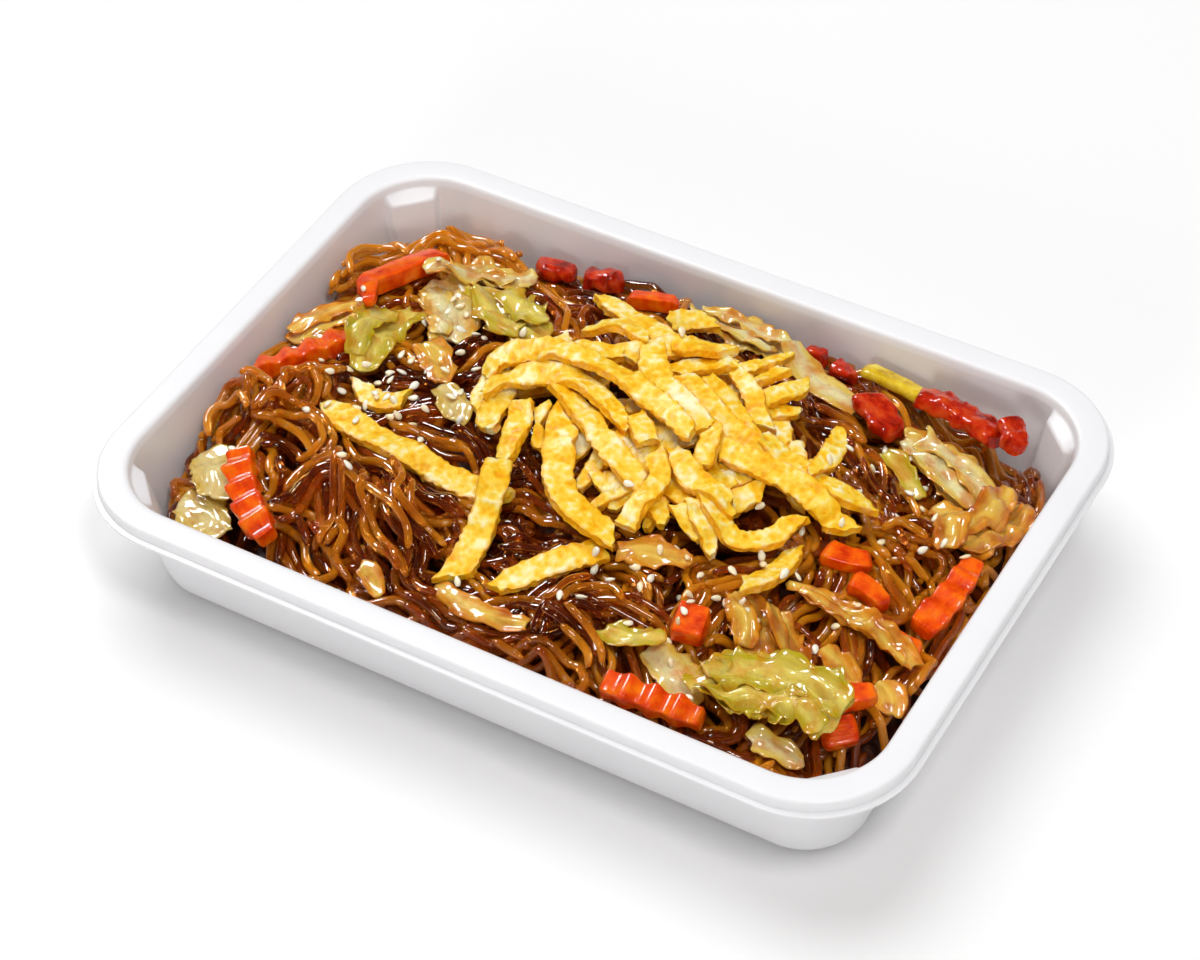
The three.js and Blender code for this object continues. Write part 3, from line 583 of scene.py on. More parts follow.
def keep_inside(x, y, z=26.0, margin=0.6):
    """Moves points that lie beyond the tray's inner wall back to it."""
    half_x = TRAY_LENGTH / 2 - wall_inset(z) - margin
    half_y = TRAY_WIDTH / 2 - wall_inset(z) - margin
    curve = CORNER_RADIUS - RADIUS_LOSS_PER_INSET * wall_inset(z) + LUG_STEP + 3
    x = np.clip(x, -half_x, half_x)
    y = np.clip(y, -half_y, half_y)
    over_x = np.abs(x) - (half_x - curve)
    over_y = np.abs(y) - (half_y - curve)
    far = np.hypot(over_x, over_y)
    fitted = np.where((over_x > 0) & (over_y > 0) & (far > curve), curve / np.maximum(far, 1e-6), 1.0)
    moved_x = np.sign(x) * (half_x - curve + over_x * fitted)
    moved_y = np.sign(y) * (half_y - curve + over_y * fitted)
    return np.where(fitted < 1, moved_x, x), np.where(fitted < 1, moved_y, y)


# %% Heap of noodles, as high as the toppings lie
HEAP_PEAK = 36.0
HEAP_FALL = 10.0
HEAP_HALF_LENGTH = 98.0
HEAP_HALF_WIDTH = 70.0
HEAP_STEEPNESS = 1.1


def heap_height(x, y):
    spread = (x / HEAP_HALF_LENGTH) ** 2 + (y / HEAP_HALF_WIDTH) ** 2
    waves = 0.7 * np.sin(x / 9 + 0.6 * np.sin(y / 11)) * np.cos(y / 8 + 1.2)
    waves = waves + 0.5 * np.sin(x / 4.7 - y / 6.1)
    return HEAP_PEAK - HEAP_FALL * spread ** HEAP_STEEPNESS + waves


# %% [markdown]
# ## Reading a solid's height
# A fine leaf has to lie where its plain solid lies. Rays sent up and down through the solid find its
# underside and its top over every cell, and the middle between them, smoothed so that the solid's
# flat facets don't show, carries the fine leaf.

# %% Rays through a solid
RAY_FROM = 200.0
SPREAD_PASSES = 12
SMOOTH_PASSES = 10


def neighbours(grid):
    """The sum over each cell and the eight round it."""
    edged = np.pad(grid, 1)
    rows, columns = grid.shape
    return sum(edged[i:i + rows, j:j + columns] for i in range(3) for j in range(3))


class Solid:
    """One CAD solid's underside, top and smooth middle over the relief's cells, in millimetres."""

    def __init__(self, name):
        mesh = nodes[name].data
        corners = np.array([v.co for v in mesh.vertices]) / MM
        tree = BVHTree.FromPolygons(corners.tolist(), [tuple(p.vertices) for p in mesh.polygons])
        grid = Relief(0.0)
        reach = 4.0
        low_i, low_j = grid.cell(corners[:, 0].min() - reach, corners[:, 1].min() - reach)
        high_i, high_j = grid.cell(corners[:, 0].max() + reach, corners[:, 1].max() + reach)
        window = np.s_[low_i:high_i + 1, low_j:high_j + 1]
        self.x, self.y = grid.x[window], grid.y[window]
        self.low = np.full(self.x.shape, np.nan)
        self.high = np.full(self.x.shape, np.nan)
        for k in np.ndindex(self.x.shape):
            start = (self.x[k], self.y[k])
            under = tree.ray_cast((*start, -RAY_FROM), (0, 0, 1))[0]
            if under is None:
                continue
            self.low[k] = under[2]
            self.high[k] = tree.ray_cast((*start, RAY_FROM), (0, 0, -1))[0][2]
        self.top = corners[:, 2].max()
        self.middle = Relief(0.0)
        self.middle.z[window] = self.smoothed((self.low + self.high) / 2)

    def smoothed(self, height):
        """Spreads the heights past the solid's edge, then evens them out."""
        known = ~np.isnan(height)
        filled = np.where(known, height, 0.0)
        weight = known.astype(float)
        for _ in range(SPREAD_PASSES):
            total, count = neighbours(filled * weight), neighbours(weight)
            filled = np.where(weight > 0, filled, total / np.maximum(count, 1e-9))
            weight = np.where(count > 0, 1.0, weight)
        for _ in range(SMOOTH_PASSES):
            filled = neighbours(filled * weight) / np.maximum(neighbours(weight), 1e-9)
        return filled


solids = {name: Solid(name) for name in nodes if name not in ("tray", "noodles")}
highest_solid = max(solid.top for solid in solids.values())
print("read", len(solids), "solids; the highest reaches", round(highest_solid, 1), "mm")

# %% [markdown]
# ## Lines in plan
# Carrots, leaves and omelette strips all follow a line seen from above, from one point to another
# with a bow to the left of its way. A quadratic curve gives that from three points.

# %% Routes
class Route:
    """A bowed line in plan, which gives points and directions by share of its length."""

    def __init__(self, start, end, bow=0.0):
        start, end = np.array(start, float), np.array(end, float)
        way = end - start
        side = np.array([-way[1], way[0]]) / np.hypot(*way)
        middle = (start + end) / 2 + side * 2 * bow
        u = np.linspace(0, 1, 65)[:, None]
        self.spots = (1 - u) ** 2 * start + 2 * u * (1 - u) * middle + u ** 2 * end
        steps = np.hypot(*np.diff(self.spots, axis=0).T)
        self.reach = np.concatenate([[0], np.cumsum(steps)])
        self.length = self.reach[-1]

    def point(self, distance):
        return np.stack([np.interp(distance, self.reach, self.spots[:, k]) for k in (0, 1)], axis=-1)

    def at(self, share):
        """Points and unit directions at shares of the length."""
        distance = np.asarray(share, float) * self.length
        way = self.point(distance + 0.4) - self.point(distance - 0.4)
        return self.point(distance), way / np.linalg.norm(way, axis=-1, keepdims=True)


def shell(points, thickness):
    """A closed sheet round a grid of middle points, rows along and columns to the left."""
    rows, columns = points.shape[:2]
    along = np.gradient(points, axis=0)
    across = np.gradient(points, axis=1)
    normal = np.cross(along, across)
    normal /= np.maximum(np.linalg.norm(normal, axis=-1, keepdims=True), 1e-9)
    offset = normal * (thickness / 2)[..., None]
    k = np.arange(rows * columns).reshape(rows, columns)
    cover = np.stack([k[:-1, :-1], k[1:, :-1], k[1:, 1:], k[:-1, 1:]], axis=-1).reshape(-1, 4)
    rim = np.concatenate([k[:-1, 0], k[-1, :-1], k[:0:-1, -1], k[0, :0:-1]])
    after = np.roll(rim, -1)
    count = rows * columns
    walls = np.stack([rim, after, after + count, rim + count], axis=-1)
    both = np.concatenate([(points - offset).reshape(-1, 3), (points + offset).reshape(-1, 3)])
    return both, [cover[:, ::-1], cover + count, walls]


# %% [markdown]
# ## Cabbage and onion
# Stir-fried cabbage is a thin limp sheet: thick and pale along its rib, thin and green towards a
# frayed edge, folded into ridges that run along it, and wet with sauce. A grid of points along the
# leaf's line gives the sheet. Its edge is frayed by noise, its folds are noise stretched along the
# leaf, and bigger leaves get one or two more plies on top, as shredded leaves stick together.

# %% Leaf shapes
LEAF_STEP = 0.8
PLY_LIFT = 1.1


def leaf_shape(t):
    return 0.45 + 0.6 * np.sin(math.pi * np.clip(0.94 * t + 0.03, 0, 1)) ** 0.6


def add_leaf(body, solid, route, width, folds, rib, seed, lift=0.0, share=1.0, shift=0.0, ends=(0.0, 1.0)):
    """One ply of a leaf, share of the width wide and shifted sideways by a share of it."""
    rows = int(route.length * (ends[1] - ends[0]) / LEAF_STEP) + 3
    columns = int(width * share / LEAF_STEP) + 5
    t = np.linspace(*ends, rows)[:, None]
    s = np.linspace(-1, 1, columns)[None, :]
    centre, way = route.at(np.repeat(t, columns, axis=1))
    run = (t - ends[0]) / (ends[1] - ends[0])
    half = width / 2 * share * leaf_shape(run)
    flat = np.zeros_like(t * s)
    fray = bumps(np.stack([t * route.length + flat, np.sign(s) * 9 + flat, flat], axis=-1), 4.0, seed)
    fray += 0.6 * bumps(np.stack([t * route.length + flat, np.sign(s) * 9 + flat, flat], axis=-1), 1.5, seed)
    across = s * half * (1 + 0.32 * fray * np.abs(s)) + shift * width / 2
    slant = 1.6 * bumps(np.stack([flat, across, flat], axis=-1), 2.8, seed + 5)
    x = centre[..., 0] - way[..., 1] * across + way[..., 0] * slant
    y = centre[..., 1] + way[..., 0] * across + way[..., 1] * slant
    x, y = keep_inside(x, y)
    stretched = np.stack([t * route.length / 3.2 + flat, across, flat], axis=-1)
    fold = 1 - 3 * np.abs(bumps(stretched, 2.6, seed + 11)) ** 0.8 + 0.5 * bumps(stretched, 1.2, seed + 12)
    broad = bumps(np.stack([x, y, flat], axis=-1), 6.0, seed + 13)
    rim_line = np.stack([t * route.length + flat, np.sign(s) * 7 + flat, flat], axis=-1)
    ruffle = np.abs(s) ** 2 * (bumps(rim_line, 2.6, seed + 14) + 0.25 * bumps(rim_line, 1.3, seed + 15))
    fade = np.minimum(1, 0.45 + 3 * np.minimum(run, 1 - run))
    z = solid.middle.at(x, y) + lift + folds * fade * (0.9 * fold + 0.6 * broad) + folds * 1.1 * ruffle + 0.6
    thickness = 0.55 - 0.3 * np.abs(s) ** 2 + rib * np.exp(-(s / 0.22) ** 2) + 0 * t
    points, faces = shell(np.stack([x, y, z], axis=-1), thickness)
    body.add(
        points,
        faces,
        along=np.tile((t * route.length + flat).ravel(), 2),
        across=np.tile(across.ravel(), 2),
        edge=np.tile((np.abs(s) + flat).ravel(), 2),
    )


def leaf(name, kind, start, end, bow=2.0, width=10.0, folds=0.8, rib=0.3, plies=1):
    seed = sum(ord(letter) for letter in name)
    random = np.random.default_rng(seed)
    route = Route(start, end, bow)
    body = Builder()
    add_leaf(body, solids[name], route, width, folds, rib, seed)
    for ply in range(1, plies):
        side = 0.4 * (-1) ** ply
        ends = (random.uniform(0.0, 0.18), random.uniform(0.8, 1.0))
        share = random.uniform(0.45, 0.62)
        placing = (PLY_LIFT * ply, share, side, ends)
        add_leaf(body, solids[name], route, width, folds, rib, seed + 31 * ply, *placing)
    body.piece(name + "_leaf", kind, kind, [name])


# %% [markdown]
# ## Leaf finishes
# The four leaf finishes share one recipe: a colour for the rib and one for the blade, browner
# patches where the sauce has soaked in, fine veins that run along the leaf, and a wet coat. Light
# goes a little way into a leaf before it comes out again, which is what subsurface scattering does.

# %% Leaf finishes
def leaf_finish(name, rib, blade, stain, stained):
    finish = Finish(
        name, ior=1.36, transmission_weight=0.2, subsurface_weight=0.4, subsurface_scale=0.001,
        subsurface_radius=(1.0, 0.8, 0.6), specular_ior_level=0.25, coat_weight=1.0, coat_roughness=0.04,
    )
    along = finish.drawn("along")
    across = finish.drawn("across")
    veins = finish.noise(1.0, detail=3.0, at=finish.vector(along * 0.12, across * 1.1))
    patches = finish.noise(5.0, detail=3.0)
    base = finish.mix(finish.drawn("edge").between(0.1, 0.8), rib, blade)
    base = finish.mix(veins.between(0.4, 0.75) * 0.45, base, rib)
    base = finish.mix(patches.between(0.94 - stained, 1.24 - stained) * 0.75, base, stain)
    base = finish.mix(finish.drawn("edge").between(0.86, 1.0) * 0.5, base, stain)
    finish.set("Base Color", base)
    finish.set("Roughness", 0.2 + veins * 0.2)
    finish.bump(veins + finish.noise(1.6, detail=3.0) * 0.8, 0.4, 0.7)
    return finish


LEAF_FINISHES = {
    "pale_leaf": ("pale_cabbage", (255, 240, 180), (255, 212, 84), (228, 134, 12), 0.54),
    "green_leaf": ("green_cabbage", (252, 228, 112), (201, 180, 8), (224, 152, 16), 0.53),
    "amber_leaf": ("amber_cabbage", (255, 208, 88), (246, 158, 26), (194, 86, 4), 0.52),
    "onion": ("onion_layers", (244, 222, 148), (232, 196, 88), (206, 142, 34), 0.5),
}
for kind, look in LEAF_FINISHES.items():
    finishes[kind] = leaf_finish(*look)
print("leaf finishes:", ", ".join(LEAF_FINISHES))

# %% Leaves
leaf("cabbage_amber_left", "amber_leaf", (-99, 4), (-86, 24), width=13, plies=3)
leaf("cabbage_green_left", "green_leaf", (-74, 27), (-73, -1), bow=-3, width=13, folds=1.1, plies=2)
leaf("cabbage_white_left", "pale_leaf", (-77, 41), (-58, 19), bow=3, width=15, rib=0.7, plies=2)
leaf("cabbage_green_back_left", "green_leaf", (-60, 43), (-35, 31), bow=-3, width=17, plies=3)
leaf("cabbage_ruffle_left", "pale_leaf", (-78, 38), (-53, 54), bow=3, width=11.5, folds=1.2, plies=2)
leaf("cabbage_small_left", "amber_leaf", (-64, 15), (-51, 3), width=9)
leaf("onion_corner_low", "onion", (-94, -57), (-77, -62), bow=1, width=11, folds=0.5)
leaf("onion_corner", "onion", (-98, -40), (-85, -55), width=14, folds=0.5)
leaf("cabbage_front_bit", "amber_leaf", (-37, -59), (-28, -64), bow=1, width=6)
leaf("cabbage_back", "pale_leaf", (-8, 61), (24, 59), width=12, folds=1.1, plies=3)
leaf("cabbage_rib_back", "pale_leaf", (23, 61), (48, 51), bow=-2, width=9.5, folds=0.4, rib=1.1)
leaf("onion_right", "amber_leaf", (63, 49), (71, 49), bow=1, width=6, folds=0.4)
leaf("cabbage_right_fold", "pale_leaf", (65, 43), (90, 36), bow=2, width=13, folds=1.2, plies=3)
leaf("cabbage_right_green", "green_leaf", (62, 37), (76, 29), bow=1, width=5, folds=0.5)
leaf("cabbage_right_ruffle", "amber_leaf", (90, 20), (97, 45), bow=-3, width=13, folds=1.3, plies=3)
leaf("cabbage_right_low", "amber_leaf", (82, 27), (91, 14), width=8.5)
leaf("ribbon_amber_right", "amber_leaf", (63, -16), (101, -23), bow=2, width=6.5, folds=1.0, plies=2)
leaf("cabbage_amber_right", "amber_leaf", (93, -29), (100, -35), bow=1, width=8)
leaf("cabbage_amber_mid", "amber_leaf", (53, -25), (65, -41), width=11.5, folds=1.1, plies=2)
leaf("cabbage_amber_ruffle", "amber_leaf", (64, -25), (76, -36), bow=-1, width=9, folds=1.2, plies=2)
leaf("cabbage_pale_front", "pale_leaf", (41, -50), (56, -59), width=11, folds=0.5, rib=0.5)
leaf("cabbage_green_front", "green_leaf", (28, -50), (44, -48), bow=-1, width=8, folds=0.4)
leaf("cabbage_small_right", "amber_leaf", (78, -28), (88, -35), bow=1, width=8)
leaf("cabbage_corner_under", "pale_leaf", (74, -60), (87, -57), bow=1, width=7)
leaf("cabbage_corner_big", "green_leaf", (58, -58), (93, -52), bow=8, width=17, folds=1.4, plies=3)
leaf("ribbon_amber_front", "amber_leaf", (-15, -56), (12, -57), bow=-2, width=6, folds=0.5)
leaf("cabbage_under_egg", "amber_leaf", (20, -29), (38, -24), bow=1, width=8)
leaf("onion_by_egg", "onion", (-50, 1), (-39, -9), width=8)

# %% [markdown]
# ## Carrot and pepper
# These are stiff cut pieces: crinkle-cut carrot with a wave across it, and strips and cubes of
# pepper. Each is lofted from rounded box sections along its line, tilted as the heap below it
# slopes, and set so that its highest point is as high as its solid's.

# %% Cut pieces
LUMP_STEP = 0.55
SECTION_POINTS = 28
RIDGE_PITCH = 6.6
SLOPE_SPAN = 6.0


def heap_tilt(x, y):
    """The rotation from straight up to the heap's own slope at a point."""
    slope_x = (heap_height(x + SLOPE_SPAN, y) - heap_height(x - SLOPE_SPAN, y)) / (2 * SLOPE_SPAN)
    slope_y = (heap_height(x, y + SLOPE_SPAN) - heap_height(x, y - SLOPE_SPAN)) / (2 * SLOPE_SPAN)
    return np.array(Vector((0, 0, 1)).rotation_difference(Vector((-slope_x, -slope_y, 1))).to_matrix())


def lump(name, kind, start, end, bow=0.0, width=8.0, thickness=5.0, ridge=0.0, taper=0.8,
         boxy=0.22, dents=0.16):
    seed = sum(ord(letter) for letter in name)
    route = Route(start, end, bow)
    rows = int(route.length / LUMP_STEP) + 3
    t = np.linspace(0, 1, rows)[:, None]
    angle = np.linspace(0, 2 * math.pi, SECTION_POINTS, endpoint=False)[None, :]
    side = np.sign(np.cos(angle)) * np.abs(np.cos(angle)) ** boxy
    lift = np.sign(np.sin(angle)) * np.abs(np.sin(angle)) ** boxy
    from_end = np.minimum(t, 1 - t)
    end_share = np.minimum(1, 0.72 + 2.4 * from_end) * (1 - 0.25 * np.exp(-from_end * route.length / 0.35))
    half = width / 2 * (1 + (taper - 1) * t) * end_share
    wave = ridge * np.cos(2 * math.pi * t * route.length / RIDGE_PITCH)
    centre, way = route.at(np.repeat(t, SECTION_POINTS, axis=1))
    across = side * (half + 0.5 * wave)
    height = (lift + 1) / 2 * thickness * end_share + wave * (lift + 0.2)
    x = centre[..., 0] - way[..., 1] * across
    y = centre[..., 1] + way[..., 0] * across
    points = np.stack([x, y, height], axis=-1)
    outward = np.stack([-way[..., 1] * side, way[..., 0] * side, lift + 0 * t], axis=-1)
    dent = bumps(points, 3.0, seed) + 0.4 * bumps(points, 1.4, seed + 1)
    points = points + outward * (dents * dent)[..., None]
    flat = points.reshape(-1, 3)
    middle = np.array([*(flat.min(0) + flat.max(0))[:2] / 2, 0])
    flat = (flat - middle) @ heap_tilt(*middle[:2]).T + middle
    flat[:, 2] += solids[name].top - flat[:, 2].max()
    along = (t * route.length + 0 * side).ravel()
    body = Builder()
    body.add(flat, ring_faces(rows, SECTION_POINTS), along=along, across=across.ravel())
    body.piece(name + "_cut", kind, kind, [name], crease=36)


# %% [markdown]
# ## Carrot and pepper finishes
# Cooked carrot is a saturated orange-red with a fine grain and a wet shine. Red pepper is darker and
# glossier, with lighter patches, and its glaze catches pinkish highlights. Both let light in a little
# way, so that thin edges glow.

# %% Carrot and pepper finishes
def cut_finish(name, light, main, dark, gloss, grain):
    finish = Finish(
        name, ior=1.42, subsurface_weight=0.3, subsurface_scale=0.0015, subsurface_radius=(1.0, 0.6, 0.4),
        specular_ior_level=0.15, coat_weight=0.7, coat_roughness=0.08,
    )
    patches = finish.noise(4.0, detail=3.0)
    grain_line = finish.vector(finish.drawn("along") * 0.25, finish.drawn("across"))
    fibres = finish.noise(0.7, detail=2.0, at=grain_line)
    base = finish.ramp(patches, (0.3, dark), (0.5, main), (0.72, light))
    base = finish.mix(fibres.between(0.45, 0.8) * 0.35, base, light)
    finish.set("Base Color", base)
    finish.set("Roughness", gloss + fibres * 0.15)
    finish.bump(fibres, grain, 0.7)
    return finish


CUT_FINISHES = {
    "carrot": ("carrot_flesh", (255, 126, 4), (242, 80, 0), (210, 48, 0), 0.24, 0.3),
    "red_pepper": ("red_pepper_flesh", (226, 84, 24), (196, 34, 4), (120, 10, 0), 0.14, 0.35),
    "yellow_pepper": ("yellow_pepper_flesh", (244, 220, 80), (226, 190, 30), (190, 150, 10), 0.16, 0.2),
}
for kind, look in CUT_FINISHES.items():
    finishes[kind] = cut_finish(*look)
print("cut finishes:", ", ".join(CUT_FINISHES))

# %% Carrots and peppers
def carrot(name, start, end, **shape):
    lump(name, "carrot", start, end, **shape)


def pepper(name, start, end, **shape):
    lump(name, "red_pepper", start, end, boxy=0.6, dents=0.7, **shape)


carrot("carrot_crinkle_left", (-81, 10), (-100.5, -15), width=8.5, thickness=5, ridge=0.6, taper=0.45)
carrot("carrot_stick_back", (-91, 26), (-80, 52), width=7.5, thickness=5, taper=0.9)
carrot("carrot_chip", (-87, 26), (-82, 17), width=4.5, thickness=2.5)
carrot("carrot_crinkle_corner", (-84, -41), (-61, -63), bow=-2, width=8, thickness=5, ridge=0.9, taper=0.95)
carrot("carrot_behind", (-27, 60), (-13, 64), width=5, thickness=4)
carrot("carrot_low_right", (87, -17), (98, -15), width=6, thickness=3.5)
carrot("carrot_slice_right", (95, -10), (97, 17), bow=-1, width=8.5, thickness=4, ridge=0.5, taper=0.7)
carrot("carrot_mid_right", (64, -2), (76, 2), bow=-1, width=6.5, thickness=4)
carrot("carrot_mid_right_low", (74, -7), (85, -9.5), bow=1, width=6, thickness=4)
carrot("carrot_block", (43, -41), (52, -39), width=9, thickness=7, taper=0.9)
carrot("carrot_crinkle_front", (37, -64), (63, -62), width=7, thickness=5.5, ridge=0.8, taper=0.85)
carrot("carrot_round", (88, -49), (95, -43), width=8, thickness=4, taper=0.9)
carrot("carrot_wedge", (87, -42), (96, -35), width=7, thickness=5, taper=0.6)
pepper("pepper_back_left", (-56, 60), (-46, 63.5), bow=1, width=8, thickness=5)
pepper("pepper_back", (-42, 62), (-31, 63.5), bow=1, width=7.5, thickness=6)
pepper("pepper_bit_back", (24, 66), (31, 65.5), width=5, thickness=4)
pepper("pepper_bit_mid", (33, 64.5), (41, 62.5), width=6, thickness=4)
pepper("pepper_dark", (48, 55), (61, 47), bow=-1, width=10, thickness=4, taper=0.9)
pepper("pepper_long", (61, 58), (86, 53), bow=2, width=9.5, thickness=5, ridge=0.25, taper=0.9)
pepper("pepper_bright", (86, 58), (92, 49), bow=1, width=8, thickness=5)
lump("pepper_yellow", "yellow_pepper", (42, 64), (65, 63), bow=1, width=7, thickness=3.5, boxy=0.7)

# %% [markdown]
# ## Noodles
# Glass noodles lie in loose bundles that run side by side, cross, and curl back at the wall. Tubes
# of their real thickness are laid one by one. Each is traced through a field of directions, which
# is drawn by a few leading strands, and it goes where the heap is still lowest. The relief carries it,
# and the toppings' undersides keep it down where it passes beneath them.

# %% Leading strands, in plan
LEADING_STRANDS = [
    [(-64, -21), (-42, -31), (-19, -40)],
    [(-60, -33), (-54, -46), (-49, -60)],
    [(-66, -54), (-58, -41), (-45, -43), (-28, -51), (-21, -58), (-2, -56)],
    [(-46, -44), (-40, -53), (-25, -63)],
    [(-42, -36), (-30, -47), (-17, -53)],
    [(-62, -56), (-49, -63)],
    [(-20, -64), (2, -62)],
    [(-2, -65), (9, -56), (17, -44)],
    [(19, -62), (17, -52), (22, -45), (29, -47), (30, -54)],
    [(15, -52), (30, -57), (35, -64)],
    [(5, -61), (19, -66)],
    [(-8, -42), (9, -37), (22, -38)],
    [(-92, 42), (-87, 58), (-75, 62), (-62, 57)],
    [(-101, 26), (-99, 42), (-91, 52)],
    [(-92, -26), (-88, -12), (-81, -11), (-77, -22)],
    [(-86, -30), (-92, -14)],
    [(-101, -36), (-102, -24), (-96, -20), (-92, -28)],
    [(-88, -31), (-73, -29), (-60, -34)],
    [(-84, -8), (-74, 3)],
    [(-60, -12), (-52, -2)],
    [(34, 42), (46, 39), (58, 36)],
    [(52, 36), (63, 35), (71, 28), (75, 18)],
    [(54, 31), (64, 21), (77, 10), (86, 3)],
    [(46, 24), (60, 12), (66, -8)],
    [(46, -30), (52, -18), (62, -12)],
    [(66, -40), (74, -48), (70, -56)],
    [(78, -12), (84, -24), (80, -40)],
]
BED_DEPTH = 6.5
NOODLE_RADIUS = 1.15
NOODLE_STEP = 1.15
FIELD_REACH = 11.0
WALL_FOLLOW = 14.0
RESTING_HEADING = math.radians(-28)
RESTING_WEIGHT = 0.25
LEAST_BED = 5.0
FULL_TURN = 6.28
TURN_RATE = 0.16
LONG_BEND = 7.0
SHORT_BEND = 3.2
SWAY = 1.2


def bed_height(x, y, least=LEAST_BED):
    """The top of the dark bed on which the strands lie."""
    return np.maximum(heap_height(x, y) - BED_DEPTH, least)


def spline(corners, step=NOODLE_STEP):
    """A smooth line through a few points, at even steps."""
    spots = np.array(corners, float)
    padded = np.vstack([2 * spots[0] - spots[1], spots, 2 * spots[-1] - spots[-2]])
    u = np.linspace(0, 1, 24, endpoint=False)[:, None]
    parts = []
    for a, b, c, d in zip(padded, padded[1:], padded[2:], padded[3:]):
        square = (2 * a - 5 * b + 4 * c - d) * u ** 2
        cube = (3 * b - a - 3 * c + d) * u ** 3
        parts.append(0.5 * (2 * b + (c - a) * u + square + cube))
    return even_steps(np.vstack([*parts, spots[-1:]]), step)


def even_steps(line, step=NOODLE_STEP):
    """Points along the same line, as far apart as step."""
    reach = np.concatenate([[0], np.cumsum(np.linalg.norm(np.diff(line, axis=0), axis=1))])
    even = np.arange(0, reach[-1], step)
    return np.stack([np.interp(even, reach, line[:, k]) for k in range(line.shape[1])], axis=-1)


def beside(line, offset):
    """A line that keeps beside another at an offset to its left, give or take a little."""
    drift = evened(noodle_random.normal(0, SWAY, len(line)), 60)
    return even_steps(line + left_of(along_line(line)) * (offset + drift)[:, None])


# %% Field of directions
field = Relief(0.0)
field_x = np.full(field.z.shape, RESTING_WEIGHT * math.cos(2 * RESTING_HEADING))
field_y = np.full(field.z.shape, RESTING_WEIGHT * math.sin(2 * RESTING_HEADING))
for strand in LEADING_STRANDS:
    line = spline(strand, 4.0)
    for (x0, y0), (x1, y1) in zip(line, line[1:]):
        heading = math.atan2(y1 - y0, x1 - x0)
        weight = np.exp(-((field.x - x0) ** 2 + (field.y - y0) ** 2) / (2 * FIELD_REACH ** 2))
        field_x += weight * math.cos(2 * heading)
        field_y += weight * math.sin(2 * heading)
field.z = np.arctan2(field_y, field_x) / 2
print("field of directions from", len(LEADING_STRANDS), "strands")

# %% Tracing a noodle in plan
noodle_random = np.random.default_rng(7)


def trace(x, y, length, wobble, loose):
    """A line that follows the field both ways from a point, and runs along the wall when it meets it."""
    phase = noodle_random.uniform(0, FULL_TURN, 4)
    halves = []
    for way in (0.0, math.pi):
        i, j = field.cell(x, y)
        heading = field.z[i, j] + way + loose
        px, py = x, y
        spots = []
        at_wall = 0
        for k in range(int(length / 2 / NOODLE_STEP)):
            s = k * NOODLE_STEP * (1 if way else -1)
            i, j = field.cell(px, py)
            wanted = field.z[i, j] + loose
            turn = math.remainder(wanted - heading, math.pi)
            heading += TURN_RATE * turn
            bend = wobble * (math.sin(s / LONG_BEND + phase[0]) + 0.8 * math.sin(s / SHORT_BEND + phase[1]))
            px += NOODLE_STEP * math.cos(heading + bend)
            py += NOODLE_STEP * math.sin(heading + bend)
            margin = NOODLE_RADIUS + 0.7 + 0.6 * math.sin(s / 8 + phase[2])
            ax, ay = keep_inside(px, py, bed_height(px, py), margin)
            if math.hypot(ax - px, ay - py) > 0.01:
                heading = math.atan2(ay - spots[-1][1], ax - spots[-1][0]) if spots else heading
                px, py = float(ax), float(ay)
                at_wall += 1
                if at_wall * NOODLE_STEP > WALL_FOLLOW:
                    break
            spots.append((px, py))
        halves.append(spots)
    return np.array(halves[1][::-1] + [(x, y)] + halves[0])


# %% Laying a strand on the relief
def evened(values, passes, least=None):
    """Averages neighbours along a line, never below least."""
    for _ in range(passes):
        edged = np.concatenate([values[:1], values, values[-1:]])
        values = (edged[:-2] + 2 * edged[1:-1] + edged[2:]) / 4
        if least is not None:
            values = np.maximum(values, least)
    return values


def capped(values, cap, slope):
    """Keeps values under a cap, and lets them fall towards it no steeper than slope."""
    room = cap.copy()
    for k in range(1, len(room)):
        room[k] = min(room[k], room[k - 1] + slope)
    for k in range(len(room) - 2, -1, -1):
        room[k] = min(room[k], room[k + 1] + slope)
    return np.minimum(values, room)


STIFFNESS = 7
STEEPEST = 0.42
TOUCH_SHARES = (-0.85, -0.45, 0, 0.45, 0.85)
STAMP_SHARES = (-0.9, -0.6, -0.3, 0, 0.3, 0.6, 0.9)


def lay_strand(line, relief, ceiling, arch):
    """Heights along a round strand, which the relief carries, with arches, under the ceiling."""
    side = left_of(along_line(line))
    need = np.full(len(line), -np.inf)
    cap = np.full(len(line), np.inf)
    for share in TOUCH_SHARES:
        spot = line + side * share * NOODLE_RADIUS
        rise = NOODLE_RADIUS * math.sqrt(1 - share ** 2)
        need = np.maximum(need, relief.at(*spot.T) + rise)
        i, j = ceiling.cell(*spot.T)
        cap = np.minimum(cap, ceiling.z[i, j] - rise)
    run = np.arange(len(line)) * NOODLE_STEP
    lifted = arch * np.maximum(0, np.sin(run / 8.5 + 6 * line[0, 0])) ** 2
    z = evened(need, STIFFNESS, need) + lifted
    z = evened(capped(z, cap, STEEPEST), 2)
    for share in STAMP_SHARES:
        rise = NOODLE_RADIUS * math.sqrt(1 - share ** 2)
        for part in (0.0, 0.33, 0.67):
            spot = line + side * share * NOODLE_RADIUS
            spot = spot[:-1] * (1 - part) + spot[1:] * part
            relief.raise_to(*spot.T, z[:-1] * (1 - part) + z[1:] * part + rise)
    return z


# %% Tubes
TUBE_SIDES = 8


